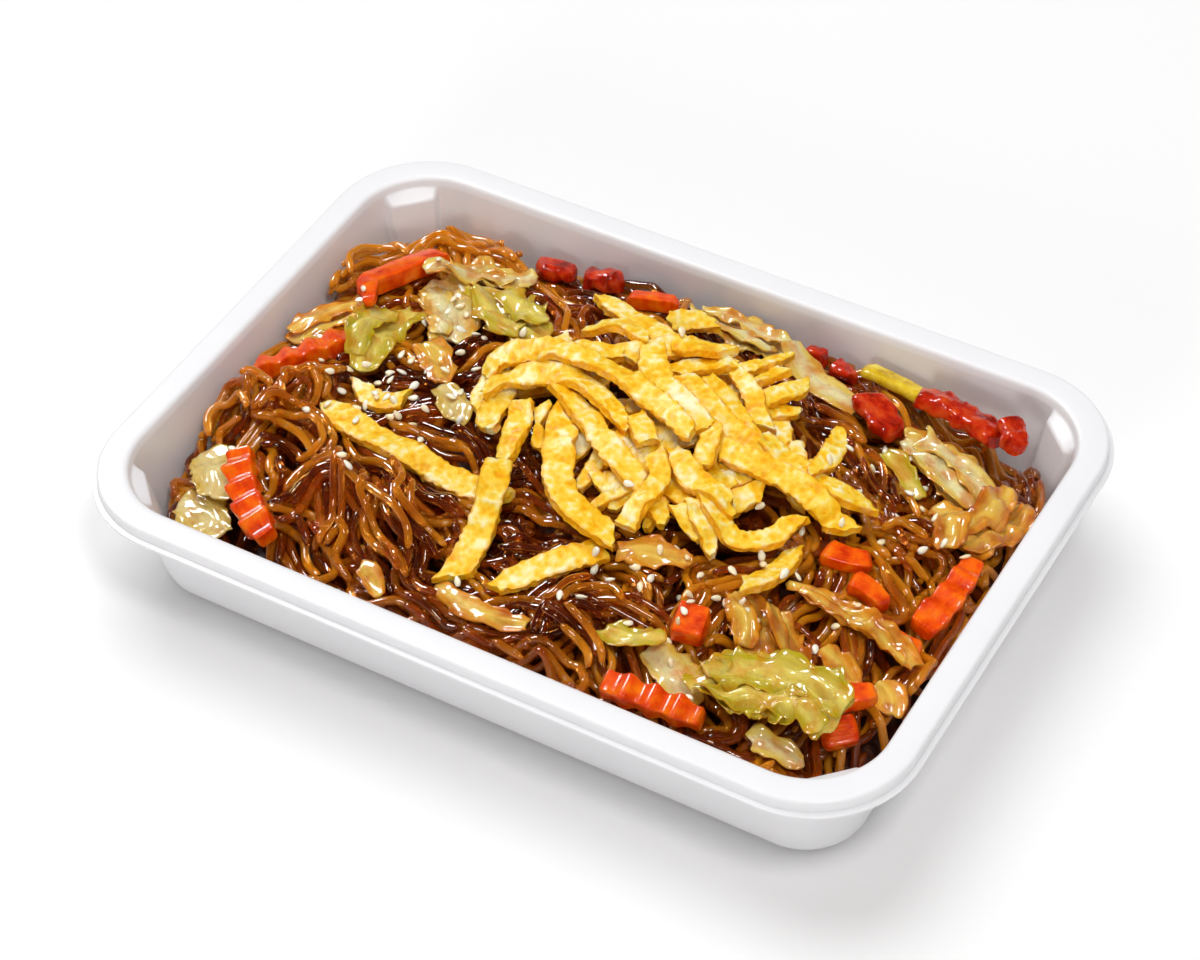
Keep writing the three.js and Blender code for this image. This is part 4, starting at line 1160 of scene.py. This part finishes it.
def add_tube(body, points, radius, tone):
    """A round closed tube along points, with blunt rounded ends."""
    way = along_line(points)
    side = np.cross(way, (0, 0, 1))
    side /= np.maximum(np.linalg.norm(side, axis=1, keepdims=True), 1e-6)
    over = np.cross(side, way)
    size = np.full(len(points), radius) * (1 + 0.06 * bumps(points, 6.0, 3))
    size[[0, -1]] *= 0.45
    size[[1, -2]] *= 0.88
    angle = np.linspace(0, 2 * math.pi, TUBE_SIDES, endpoint=False)
    ring = side[:, None] * np.cos(angle)[None, :, None] + over[:, None] * np.sin(angle)[None, :, None]
    faces = ring_faces(len(points), TUBE_SIDES, clockwise=True)
    body.add(points[:, None] + ring * size[:, None, None], faces, tone=tone)


# %% [markdown]
# ## Noodle finish
# A glass noodle is clear starch stained by soy sauce. Light goes in, bends, and comes out tinted, so
# one noodle over a pale ground looks amber and a thick tangle looks nearly black. Transmission with a
# brown tint does just that: each noodle that the light crosses multiplies the tint once more. Some
# of the light still scatters, which the other part of the shader gives.

# %% Noodle finish
noodle = Finish("glass_noodle", ior=1.36, transmission_weight=1.0, coat_weight=1.0, coat_roughness=0.015)
strand_tone = noodle.drawn("tone")
soaked = noodle.noise(16.0, detail=2.0)
depth = (strand_tone * 0.7 + soaked * 0.7).between(0.3, 1.05)
noodle.set("Base Color", noodle.ramp(
    depth, (0.0, (204, 126, 46)), (0.5, (234, 166, 70)), (1.0, (252, 210, 110)),
))
noodle.set("Roughness", 0.04 + noodle.noise(5.0) * 0.05)
noodle.bump(noodle.noise(1.8, detail=2.0), 0.14, 0.5)
noodle.cloud(
    0.2 + depth * 0.2,
    noodle.ramp(depth, (0.0, (104, 34, 1)), (0.5, (196, 84, 3)), (1.0, (255, 166, 26))),
    roughness=0.1, coat_weight=1.0, coat_roughness=0.015, specular_ior_level=0.0,
)
finishes["noodle"] = noodle

# The bed's dark brown is painted shade: it stands for the shaded depths of the tangle under the strands.
bed_finish = Finish("painted_shade_noodle_bed", roughness=0.5, specular_ior_level=0.2)
bed_finish.set("Base Color", bed_finish.ramp(
    bed_finish.noise(3.0, detail=3.0), (0.3, (40, 14, 4)), (0.7, (86, 38, 10)),
))
bed_finish.bump(bed_finish.noise(2.4, detail=2.0), 1.2, 0.8)
finishes["bed"] = bed_finish

# %% Reliefs for the noodles
ceiling = Relief(1e3)
for name, solid in solids.items():
    known = ~np.isnan(solid.low)
    ceiling.lower_to(solid.x[known], solid.y[known], solid.low[known] - 0.3)
noodle_top = Relief(lambda x, y: bed_height(x, y, least=6.0))
wanted_top = Relief(lambda x, y: heap_height(x, y) + 0.6)
places = np.stack([wanted_top.x, wanted_top.y, 0 * wanted_top.x], axis=-1)
wanted_top.z += 1.2 * bumps(places, 14.0, 4) + 0.5 * bumps(places, 6.0, 5)
wanted_top.z = np.minimum(wanted_top.z, ceiling.z - 0.2)

# %% Bed of painted shade under the noodles
def build_bed():
    """A floor of painted shade just under the noodles that show, down to the tray's own floor."""
    shares = np.concatenate([[0.0], np.linspace(0.12, 1.0, 22)])
    ring = tray_ring(WALL_INSET_BOTTOM + 1.0, 5.0, 1.0)[::3, :2]
    rings = []
    for share in shares[:0:-1]:
        spot = ring * share
        rings.append(np.column_stack([spot, noodle_top.at(*spot.T)]))
    low = ring * 0.95
    rings.insert(0, np.column_stack([low, np.full(len(low), FLOOR_THICKNESS + 1.0)]))
    body = Builder()
    body.add(np.concatenate(rings), ring_faces(len(rings), len(ring)))
    body.piece("noodle_bed", "bed", "noodle", ["noodles"])


build_bed()

# %% Strands that fill the heap, in twos and threes that wave together
FILL_COUNT = 235
CANDIDATES = 12
SPACING = 2.35
WOBBLES = (0.15, 0.85)
LENGTHS = (45, 110)
LOOSE_SHARE = 0.3


def painted_glow_by_place(x, y):
    """A painted glow: how much lighter amber noodles are painted towards the ends of the tray, most of all
    at the back on the left.
    """
    left = smooth_step(-x, 45, 90)
    return -0.12 + 0.25 * left + 0.4 * left * smooth_step(y, 15, 40) + 0.3 * smooth_step(x, 30, 60)


def lay_bundle(line, offsets, laid, arch=0.0, tones=(0.0, 1.0)):
    """Strands side by side along one line."""
    for offset in offsets:
        moved = beside(line, offset)
        trim = noodle_random.integers(0, 6, 2)
        moved = moved[trim[0]:len(moved) - trim[1]]
        if len(moved) < 8:
            continue
        moved = np.column_stack(keep_inside(*moved.T, bed_height(*moved.T), NOODLE_RADIUS + 0.3))
        z = lay_strand(moved, noodle_top, ceiling, arch)
        # The tone adds the painted glow by place to a random share.
        tone = noodle_random.uniform(*tones) + painted_glow_by_place(*moved.mean(axis=0))
        laid.append((np.column_stack([moved, z]), np.clip(tone, 0, 1)))


def fill_heap():
    laid = []
    for number in range(FILL_COUNT):
        best, best_lack = None, 0.0
        for _ in range(CANDIDATES):
            x = noodle_random.uniform(-HEAP_HALF_LENGTH, HEAP_HALF_LENGTH)
            y = noodle_random.uniform(-HEAP_HALF_WIDTH, HEAP_HALF_WIDTH)
            is_loose = noodle_random.random() >= 1 - LOOSE_SHARE
            loose = noodle_random.normal(0, 0.9 if is_loose else 0.2)
            wobble = noodle_random.uniform(*WOBBLES)
            x, y = (float(c) for c in keep_inside(x, y, margin=4.0))
            line = trace(x, y, noodle_random.uniform(*LENGTHS), wobble, loose)
            lack = wanted_top.at(*line.T) - noodle_top.at(*line.T)
            score = np.mean(np.clip(lack, -4.0, 2.5)) + 0.15 * min(0.0, lack.min())
            if score > best_lack:
                best, best_lack = line, score
        if best is None:
            continue
        arch = noodle_random.uniform(0, 1.8) if number > FILL_COUNT // 2 else 0.0
        count = int(noodle_random.integers(1, 4))
        offsets = (np.arange(count) - (count - 1) / 2) * SPACING
        lay_bundle(best, offsets, laid, arch)
    return laid


fill = fill_heap()
fill_length = sum(len(points) for points, _ in fill) * NOODLE_STEP
print("filled the heap with", len(fill), "strands,", round(fill_length / 1000, 1), "m")

# %% Strands that show most, in plan: bundles along the leading strands, then single curls
CURLS = [
    [(-84, -21), (-87, -17), (-89, -14), (-87, -12), (-83, -11), (-79, -13), (-78, -16), (-79, -20),
     (-80, -26)],
    [(-83, -33), (-86, -29), (-85, -24), (-81, -22), (-75, -22), (-70, -25), (-67, -29), (-69, -33),
     (-74, -35)],
    [(-80, -33), (-82, -28), (-79, -25), (-74, -24), (-70, -27), (-71, -32)],
    [(-94, -40), (-98, -37), (-102, -32), (-101, -28), (-97, -26), (-92, -28), (-89, -32)],
    [(-96, -37), (-98, -33), (-94, -30), (-90, -31), (-88, -35)],
    [(-90, -45), (-93, -41), (-92, -38), (-88, -36), (-84, -38), (-82, -42)],
    [(-97, -26), (-99, -21), (-97, -18), (-93, -17), (-89, -20), (-90, -26)],
    [(-64, -53), (-65, -46), (-63, -41), (-57, -39), (-50, -42), (-42, -44), (-34, -46), (-27, -50),
     (-24, -57)],
    [(-24, -57), (-17, -60), (-10, -59)],
    [(-60, -31), (-56, -37), (-54, -43), (-50, -51), (-49, -58), (-45, -62)],
    [(-54, -35), (-47, -39), (-45, -45), (-38, -50), (-33, -53), (-27, -57), (-23, -63)],
    [(-52, -51), (-45, -53), (-44, -59), (-37, -62)],
    [(-49, -27), (-41, -33), (-37, -38), (-36, -42), (-28, -45), (-19, -47)],
    [(20, -54), (18, -48), (21, -43), (26, -41), (31, -44)],
    [(16, -52), (25, -53), (31, -56), (34, -60), (32, -64)],
    [(15, -56), (24, -57), (29, -59), (31, -63)],
    [(3, -49), (9, -47), (13, -51), (11, -56)],
    [(11, -55), (15, -49), (17, -44), (21, -41)],
    [(22, -50), (28, -54), (35, -53), (40, -55)],
    [(45, -40), (43, -33), (46, -27), (52, -26), (55, -30), (60, -36)],
    [(54, -45), (55, -40), (59, -38), (64, -40), (70, -41)],
    [(52, 33), (62, 35), (71, 29), (78, 23), (82, 18)],
    [(73, 11), (78, 15), (85, 15), (92, 11)],
    [(72, 1), (83, 6), (91, 5)],
    [(72, -8), (80, -9), (86, -13), (92, -14)],
    [(-97, 30), (-102, 38), (-100, 46), (-94, 48), (-88, 43)],
    [(-91, 60), (-88, 66), (-81, 68), (-72, 66), (-64, 58)],
    [(-86, 59), (-81, 63), (-74, 62), (-68, 57)],
    [(17, -32), (28, -29), (36, -31), (42, -29)],
    [(-20, -28), (-12, -34), (-3, -38), (8, -40)],
]
TWINS = (1, 3, 9, 14, 20, 25)
LEADING_OFFSETS = (4.4, -2.2, 2.2, 0.0)
LEADING_TONES = (0.1, 0.9)
TWIN_OFFSETS = (2.3, 0.0)
CURL_TONES = (0.55, 1.0)
CURL_ARCH = 0.8


def lay_leading():
    laid = []
    for strand in LEADING_STRANDS:
        line = spline(strand)
        reach = np.arange(len(line)) * NOODLE_STEP
        wave = 1.3 * np.sin(reach / 4.2 + noodle_random.uniform(0, FULL_TURN))
        line = line + left_of(along_line(line)) * wave[:, None]
        lay_bundle(line, LEADING_OFFSETS, laid, tones=LEADING_TONES)
    for number, strand in enumerate(CURLS):
        offsets = TWIN_OFFSETS if number in TWINS else (0.0,)
        lay_bundle(spline(strand), offsets, laid, arch=CURL_ARCH, tones=CURL_TONES)
    return laid


leading = lay_leading()
above = noodle_top.z - wanted_top.z
print("leading strands:", len(leading))
print("top above the wanted height, mm:", np.round(np.percentile(above, [5, 50, 95]), 1))

# %% Noodle pieces
LOW_PERCENT = 33
MID_PERCENT = 64


def build_noodles():
    strands = fill + leading
    shares = [len(strands) * percent // 100 for percent in (0, LOW_PERCENT, MID_PERCENT, 100)]
    for name, first, last in zip(("noodles_low", "noodles_mid", "noodles_top"), shares, shares[1:]):
        body = Builder()
        for points, tone in strands[first:last]:
            add_tube(body, points, NOODLE_RADIUS * (0.86 + 0.2 * ((tone * 7.3) % 1)), tone)
        body.piece(name, "noodle", "noodle", ["noodles"])


build_noodles()

# %% [markdown]
# ## Omelette
# The omelette was cut into strips about seven millimetres wide and piled up. A strip is a band with
# real thickness: flat faces with pores, and cut edges that are torn into small scallops. It is
# stiffer than a leaf, so it bridges what it lies on and tilts sideways with it. Loose strips follow
# their solids. The strips of the mound are laid on the relief one after another, as the noodles are.

# %% Bands
BAND_STEP = 0.6
EGG_THICKNESS = 2.3
ACROSS = np.linspace(-1, 1, 9)
FACE_POINTS = 11
EDGE_POINTS = 3


def add_band(body, line, z, roll, width, seed, tone):
    """A band along a line in plan, at underside heights z, rolled sideways by an angle at each row."""
    random = np.random.default_rng(seed)
    rows = len(line)
    way = along_line(np.column_stack([line, z]))
    left = np.cross((0, 0, 1), way)
    left /= np.linalg.norm(left, axis=1, keepdims=True)
    over = np.cross(way, left)
    across = left * np.cos(roll)[:, None] + over * np.sin(roll)[:, None]
    normal = over * np.cos(roll)[:, None] - left * np.sin(roll)[:, None]
    face = np.linspace(-1, 1, FACE_POINTS)
    edge = np.linspace(0, 1, EDGE_POINTS + 2)[1:-1]
    u = np.concatenate([-np.ones(EDGE_POINTS), face, np.ones(EDGE_POINTS), face[::-1]])
    h = np.concatenate([edge, np.ones(FACE_POINTS), edge[::-1], np.zeros(FACE_POINTS)])
    is_edge = np.abs(u) > 0.99
    run = np.arange(rows)[:, None] * BAND_STEP
    flat = np.zeros((rows, len(u)))
    spot = np.stack([run + flat, np.sign(u) * 11 + flat, 0.9 * h * EGG_THICKNESS + flat], axis=-1)
    torn = bumps(spot, 1.15, seed) + 0.7 * bumps(spot, 2.8, seed + 1)
    half = np.full((rows, 1), width / 2)
    for side in (run, run[::-1]):
        point = random.choice([random.uniform(0.0, 0.15), random.uniform(0.35, 0.7)])
        half = half * (1 - point * np.exp(-(side / random.uniform(2.5, 6)) ** 1.2))
    half = half * (1 + 0.1 * bumps(spot[:, :1] + 50, 9.0, seed + 6))
    reach = u * half + np.sign(u) * is_edge * 0.5 * torn * np.minimum(1, half / 2)
    lean = random.uniform(-0.9, 0.9, 2)
    slant = 1.3 * bumps(np.stack([flat, u * half, flat + seed], axis=-1), 1.6, seed + 2)
    ends = np.exp(-run / 3) * (lean[0] * u * half + slant)
    ends = ends + np.exp(-run[::-1] / 3) * (lean[1] * u * half - slant)
    wave = 0.45 * bumps(np.stack([run + flat, u * half, flat], axis=-1), 4.5, seed + 7)
    rise = h * EGG_THICKNESS - 0.1 * EGG_THICKNESS * is_edge * (2 * h - 1) + wave
    points = (
        np.column_stack([line, z])[:, None]
        + across[:, None] * reach[..., None]
        + normal[:, None] * rise[..., None]
        + way[:, None] * ends[..., None]
    )
    pores = bumps(points, 1.1, seed + 3) + 0.8 * bumps(points, 2.4, seed + 4)
    wrinkle = bumps(np.stack([run * 1.6 + flat, u * half * 0.4, flat], axis=-1), 2.0, seed + 8)
    pushed = (0.24 * pores + 0.18 * wrinkle) * (2 * h - 1) * ~is_edge
    points = points + normal[:, None] * pushed[..., None]
    faces = ring_faces(rows, len(u), clockwise=True)
    body.add(points, faces, side=is_edge + flat, pore=pores + 0.8 * wrinkle, tone=tone)


# %% [markdown]
# ## Omelette finish
# The faces are a creamy yellow that varies at random, with painted shade of deep gold in the pores and
# dips and painted cream highlights on the raised ridges; the cut sides get a deeper yellow of painted
# shade, and a few places are browned by the pan. The band's own points say which side they are on and
# how deep a pore is, so that the painted shade and highlights go with the shape.

# %% Omelette finish
egg = Finish(
    "omelette", ior=1.4, specular_ior_level=0.22, coat_weight=0.1, coat_roughness=0.22,
    subsurface_weight=0.25, subsurface_scale=0.0015, subsurface_radius=(1.0, 0.7, 0.4),
)
pore = egg.drawn("pore")
fine = egg.noise(0.8, detail=3.0)
broad = egg.noise(9.0, detail=1.0)
cells = egg.node("ShaderNodeTexVoronoi", {"feature": "F1"}, {"Vector": egg.place(), "Scale": 1 / (1.9 * MM)})
ridge = (cells * 0.9 + fine * 0.5 - 0.25).clamped()
# Painted shade and highlight: the face colour runs from deep gold in pores and dips to cream on raised
# ridges, over broad random patches.
face_colour = egg.ramp(
    (pore * 0.16 + ridge * 0.34 + broad * 0.8 - 0.02).between(0.0, 1.0),
    (0.0, (242, 156, 2)), (0.3, (251, 190, 14)), (0.6, (255, 216, 74)), (0.96, (255, 246, 200)),
)
# Painted shade: the cut sides get a deeper orange than the faces.
egg_colour = egg.mix(egg.drawn("side") * 0.85, face_colour, egg.mix(fine, (232, 132, 0), (255, 198, 20)))
egg_colour = egg.mix(egg.noise(3.2, detail=3.0).between(0.74, 0.84) * 0.6, egg_colour, (216, 130, 30))
egg.set("Base Color", egg_colour)
egg.set("Roughness", 0.38 + fine * 0.2)
egg.bump(ridge, 0.45, 0.8)
finishes["egg"] = egg

# %% Loose omelette strips, on their solids
def loose_strip(name, start, end, bow, width=8.0):
    seed = sum(ord(letter) for letter in name)
    solid = solids[name]
    route = Route(start, end, bow)
    t = np.linspace(0, 1, int(route.length / BAND_STEP) + 2)
    line, way = route.at(t)
    left = left_of(way)
    edges = [solid.middle.at(*(line + left * side * width * 0.35).T) for side in (-1, 1)]
    roll = evened(np.arctan2(edges[1] - edges[0], width * 0.7), 8)
    z = evened(solid.middle.at(*line.T), 4) - EGG_THICKNESS / 2
    body = Builder()
    add_band(body, line, z, roll, width, seed, 0.5)
    body.piece(name + "_strip", "egg", "egg", [name], crease=42)


loose_strip("egg_left_curl", (-71, -4), (-56, -6), -4, 6)
loose_strip("egg_left_long", (-75, -15), (-13, -27), -3)
loose_strip("egg_left_cross", (-19, -20), (-13, -53), 2, 7.5)
loose_strip("egg_front", (-1, -51), (17, -29), 1)
loose_strip("egg_right_short", (55, -27), (58, -6), -2)

# %% Everything laid so far, for the mound and the seeds
top = Relief(0.0)
top.z = noodle_top.z.copy()
for name, solid in solids.items():
    known = ~np.isnan(solid.high)
    if name != "egg_mound":
        top.raise_to(solid.x[known], solid.y[known], solid.high[known])

# %% [markdown]
# ## The mound
# The mound's strips were piled by hand, so they are listed one by one too. Each has its width and a
# few points of its line, with the height that its top has in the pile. A first, lower layer of strips
# in all directions fills the mound, and shows only in the gaps.

# %% Strips of the mound, bottom to top: width, then points
MOUND_STRIPS = [
    (6.5, [(-6, 46, 44), (-1, 49, 44), (5, 51, 43)]),
    (6.5, [(-27, 45, 44), (-15, 40, 46), (-3, 36, 48), (5, 31, 48)]),
    (6.5, [(-21, 31, 46), (-15, 33, 48), (-3, 30, 49)]),
    (5.0, [(-28, 20, 45), (-26, 28, 43)]),
    (7.5, [(-19, 21, 47), (-7, 25, 47)]),
    (6.5, [(-37, 12, 44), (-33, 15, 46), (-23, 19, 48), (-14, 20, 49), (-7, 24, 48)]),
    (6.0, [(32, 28, 41), (39, 34, 40)]),
    (6.5, [(29, 25, 45), (33, 35, 44), (37, 44, 42)]),
    (5.0, [(26, 32, 45), (31, 43, 43)]),
    (5.0, [(20, 35, 46), (25, 42, 45), (28, 50, 43)]),
    (5.5, [(17, 36, 48), (27, 30, 46), (36, 20, 44)]),
    (6.5, [(16, 27, 49), (27, 20, 48), (39, 13, 45)]),
    (6.5, [(11, 23, 50), (24, 16, 49), (33, 13, 47), (41, 11, 45)]),
    (6.5, [(-8, 24, 47), (1, 31, 48), (6, 39, 46)]),
    (6.5, [(6, 24, 48), (13, 31, 48), (20, 36, 46)]),
    (7.5, [(3, 32, 50), (10, 35, 50), (17, 37, 48)]),
    (7.5, [(38, 15, 46), (51, 12, 44), (63, 12, 42), (69, 14, 39)]),
    (6.5, [(52, 32, 42), (54, 22, 44), (53, 11, 44)]),
    (6.5, [(-34, 15, 44), (-36, 5, 42), (-35, -5, 40)]),
    (7.5, [(-31, 3, 44), (-30, -5, 42), (-27, -10, 40)]),
    (6.0, [(-18, -3, 43), (-17, 4, 44)]),
    (6.0, [(-17, -6, 42), (-10, -8, 41)]),
    (6.5, [(-23, 0, 46), (-20, -9, 44), (-18, -20, 41)]),
    (6.5, [(20, -11, 43), (28, -18, 40)]),
    (6.5, [(30, -12, 43), (39, -17, 40)]),
    (6.0, [(32, -10, 44), (43, -20, 39)]),
    (5.5, [(56, 0, 41), (52, -9, 40), (46, -13, 41), (39, -12, 43), (34, -8, 45)]),
    (8.0, [(-13, 3, 46), (-7, -9, 45), (-1, -20, 43), (7, -25, 42), (19, -27, 40)]),
    (7.0, [(-15, 6, 48), (-1, -2, 47), (12, -9, 45), (20, -12, 42)]),
    (6.5, [(6, 6, 49), (14, -1, 47)]),
    (6.5, [(-34, -1, 43), (-30, 4, 46), (-21, 9, 49), (-11, 9, 50), (0, 5, 49), (7, 1, 46)]),
    (7.0, [(30, 6, 48), (43, 7, 46), (56, 7, 43), (68, 3, 39)]),
    (7.0, [(23, 12, 51), (28, 8, 50), (30, -1, 47)]),
    (7.0, [(20, 1, 48), (29, -5, 47), (37, -7, 45), (42, -7, 43)]),
    (6.0, [(18, -4, 48), (22, -10, 47), (21, -18, 45), (20, -24, 42)]),
    (7.5, [(-1, 28, 52), (6, 18, 52), (16, 13, 51), (26, 9, 49)]),
    (6.5, [(-37, 4, 42), (-35, 10, 46), (-27, 14, 50), (-12, 15, 52), (1, 13, 53), (13, 10, 53),
           (25, 4, 51)]),
]
MOUND_TOP = 54.0
MOUND_MIDDLE = (14.0, 10.0)
MOUND_REACH = (44.0, 28.0)
UNDER_STRIPS = 40

# %% Mound
mound_random = np.random.default_rng(12)


def stamp_band(relief, line, left, z, slope, width):
    for s in np.linspace(-1, 1, 17):
        for part in (0.0, 0.5):
            spot = line + left * s * width / 2
            height = z + slope * s + EGG_THICKNESS
            moved = spot[:-1] * (1 - part) + spot[1:] * part
            relief.raise_to(*moved.T, height[:-1] * (1 - part) + height[1:] * part)


def lay_band(body, pile, corners, width, seed):
    """One strip of the pile, near its own height and on what lies under it."""
    line = spline(corners, BAND_STEP)
    line, wanted = line[:, :2], line[:, 2] - EGG_THICKNESS
    left = left_of(along_line(line))
    ground = np.stack([pile.at(*(line + left * s * width / 2).T) for s in ACROSS], axis=1)
    slope = (ground @ ACROSS) / (ACROSS @ ACROSS)
    limit = 0.4 * width / 2
    twist = mound_random.normal(0, 0.16)
    slope = evened(np.clip(0.6 * slope + twist * width / 2, -limit, limit), 16)
    need = np.max(ground - slope[:, None] * ACROSS, axis=1)
    z = evened(np.maximum(wanted, np.minimum(need, wanted + 1.6)), 10)
    z = np.minimum(z, MOUND_TOP - EGG_THICKNESS - np.abs(slope) - 0.6)
    stamp_band(pile, line, left, z, slope, width)
    add_band(body, line, z, np.arctan2(slope, width / 2), width, seed, mound_random.random())


def under_strip():
    """A strip of the filling, somewhere in the mound."""
    turn, share = mound_random.uniform(0, 2 * math.pi), mound_random.uniform(0, 1) ** 0.6
    x = MOUND_MIDDLE[0] + MOUND_REACH[0] * share * math.cos(turn) * 0.8
    y = MOUND_MIDDLE[1] + MOUND_REACH[1] * share * math.sin(turn) * 0.8
    heading = mound_random.uniform(0, math.pi)
    corners = []
    for reach in (-10, 0, 10):
        px, py = x + reach * math.cos(heading), y + reach * math.sin(heading)
        spread = ((px - MOUND_MIDDLE[0]) / MOUND_REACH[0]) ** 2
        spread += ((py - MOUND_MIDDLE[1]) / MOUND_REACH[1]) ** 2
        corners.append((px, py, 39 + 5.5 * max(0.0, 1 - spread)))
        heading += mound_random.normal(0, 0.3)
    return corners


def build_mound():
    pile = Relief(0.0)
    pile.z = top.z.copy()
    low, high = Builder(), Builder()
    for number in range(UNDER_STRIPS):
        lay_band(low, pile, under_strip(), mound_random.uniform(5.5, 7.5), 400 + number)
    for number, (width, corners) in enumerate(MOUND_STRIPS):
        lay_band(high, pile, corners, width, 200 + number)
    low.piece("egg_mound_filling", "egg", "egg", ["egg_mound"], crease=42)
    high.piece("egg_mound_strips", "egg", "egg", ["egg_mound"], crease=42)
    print("mound reaches", round(float(pile.z.max()), 1), "mm")
    return pile


pile = build_mound()

# %% [markdown]
# ## Sesame
# Sesame seeds are flat drops about three and a half millimetres long. They are scattered over
# everything, more thickly in some places, and each lies flat on whatever it fell on.

# %% Seed finish
seed_finish = Finish(
    "sesame", roughness=0.35, subsurface_weight=0.2, subsurface_scale=0.001, coat_weight=0.3,
)
seed_finish.set("Base Color", seed_finish.ramp(
    seed_finish.drawn("tone") * 0.6 + seed_finish.noise(1.5) * 0.4,
    (0.2, (250, 226, 176)), (0.5, (255, 246, 216)), (1.0, (255, 252, 240)),
))
finishes["sesame"] = seed_finish

# %% Seeds
SEED_LENGTH = 3.5
SEED_WIDTH = 2.1
SEED_HEIGHT = 1.2
SEED_COUNT = 135
SEED_SPOTS = ((0, 0), (0.6, 0), (-0.6, 0), (0, 0.6), (0, -0.6))
SEED_CLUSTERS = [
    ((-62, 30), 12, 0.2),
    ((-60, -2), 13, 0.2),
    ((38, -28), 14, 0.17),
    ((74, 20), 16, 0.2),
]


def seed_shape():
    """A drop: rings along its length, closed at both ends."""
    rings = 9
    sides = 10
    u = np.linspace(0, 1, rings + 2)[1:-1]
    size = np.sin(math.pi * u) ** 0.75 * (1.12 - 0.55 * u)
    angle = np.linspace(0, 2 * math.pi, sides, endpoint=False)
    x = np.repeat((u - 0.5)[:, None] * SEED_LENGTH, sides, axis=1)
    y = size[:, None] * np.cos(angle) * SEED_WIDTH / 2
    z = size[:, None] * np.sin(angle) * SEED_HEIGHT / 2
    return np.stack([x, y, z], axis=-1).reshape(-1, 3), ring_faces(rings, sides)


def scatter_seeds():
    random = np.random.default_rng(5)
    shape, faces = seed_shape()
    ground = Relief(0.0)
    ground.z = np.maximum(pile.z, top.z)
    eased = ground.blurred(2.0)
    body = Builder()
    placed = []
    shares = np.cumsum([share for _, _, share in SEED_CLUSTERS])
    while len(placed) < SEED_COUNT:
        pick = random.random()
        cluster = int(np.searchsorted(shares, pick))
        if cluster < len(SEED_CLUSTERS):
            (cx, cy), spread, _ = SEED_CLUSTERS[cluster]
            x, y = random.normal(cx, spread), random.normal(cy, spread * 0.8)
        else:
            x, y = random.uniform(-92, 92), random.uniform(-62, 62)
        inside = keep_inside(x, y, margin=6.0)
        if math.hypot(inside[0] - x, inside[1] - y) > 0.01:
            continue
        if any(math.hypot(x - px, y - py) < SEED_WIDTH for px, py in placed):
            continue
        on_mound = pile.at(x, y) > top.at(x, y) + 1
        if on_mound and random.random() < 0.75:
            continue
        placed.append((x, y))
        slope_x = np.clip(float(eased.at(x + 1, y) - eased.at(x - 1, y)) / 2, -0.8, 0.8)
        slope_y = np.clip(float(eased.at(x, y + 1) - eased.at(x, y - 1)) / 2, -0.8, 0.8)
        tilt = Vector((0, 0, 1)).rotation_difference(Vector((-slope_x, -slope_y, 1))).to_matrix()
        turn = Matrix.Rotation(random.uniform(0, 2 * math.pi), 3, "Z")
        rock = Matrix.Rotation(random.normal(0, 0.2), 3, "Y")
        size = random.uniform(0.88, 1.1)
        points = shape * size @ np.array(tilt @ turn @ rock).T
        highest = max(float(ground.at(x + dx, y + dy)) for dx, dy in SEED_SPOTS)
        points += (x, y, highest + SEED_HEIGHT * 0.42)
        body.add(points, faces, tone=random.random())
    body.piece("sesame_seeds", "sesame", "noodle", ["noodles"])


scatter_seeds()

# %% [markdown]
# ## The table
# A white table catches the soft shadow. It isn't part of the object.

# %% Floor
floor_finish = Finish("white_table", roughness=0.7, specular_ior_level=0.1)
floor_finish.set("Base Color", floor_finish.mix(floor_finish.noise(400.0), (247, 247, 247), (249, 249, 249)))
floor_mesh = bpy.data.meshes.new("table")
half_floor = FLOOR_SIZE / 2 * MM
corners = [(x * half_floor, y * half_floor, 0) for x, y in ((-1, -1), (1, -1), (1, 1), (-1, 1))]
floor_mesh.from_pydata(corners, [], [(0, 1, 2, 3)])
floor_mesh.materials.append(floor_finish.material)
table = bpy.data.objects.new("table", floor_mesh)
bpy.context.scene.collection.objects.link(table)
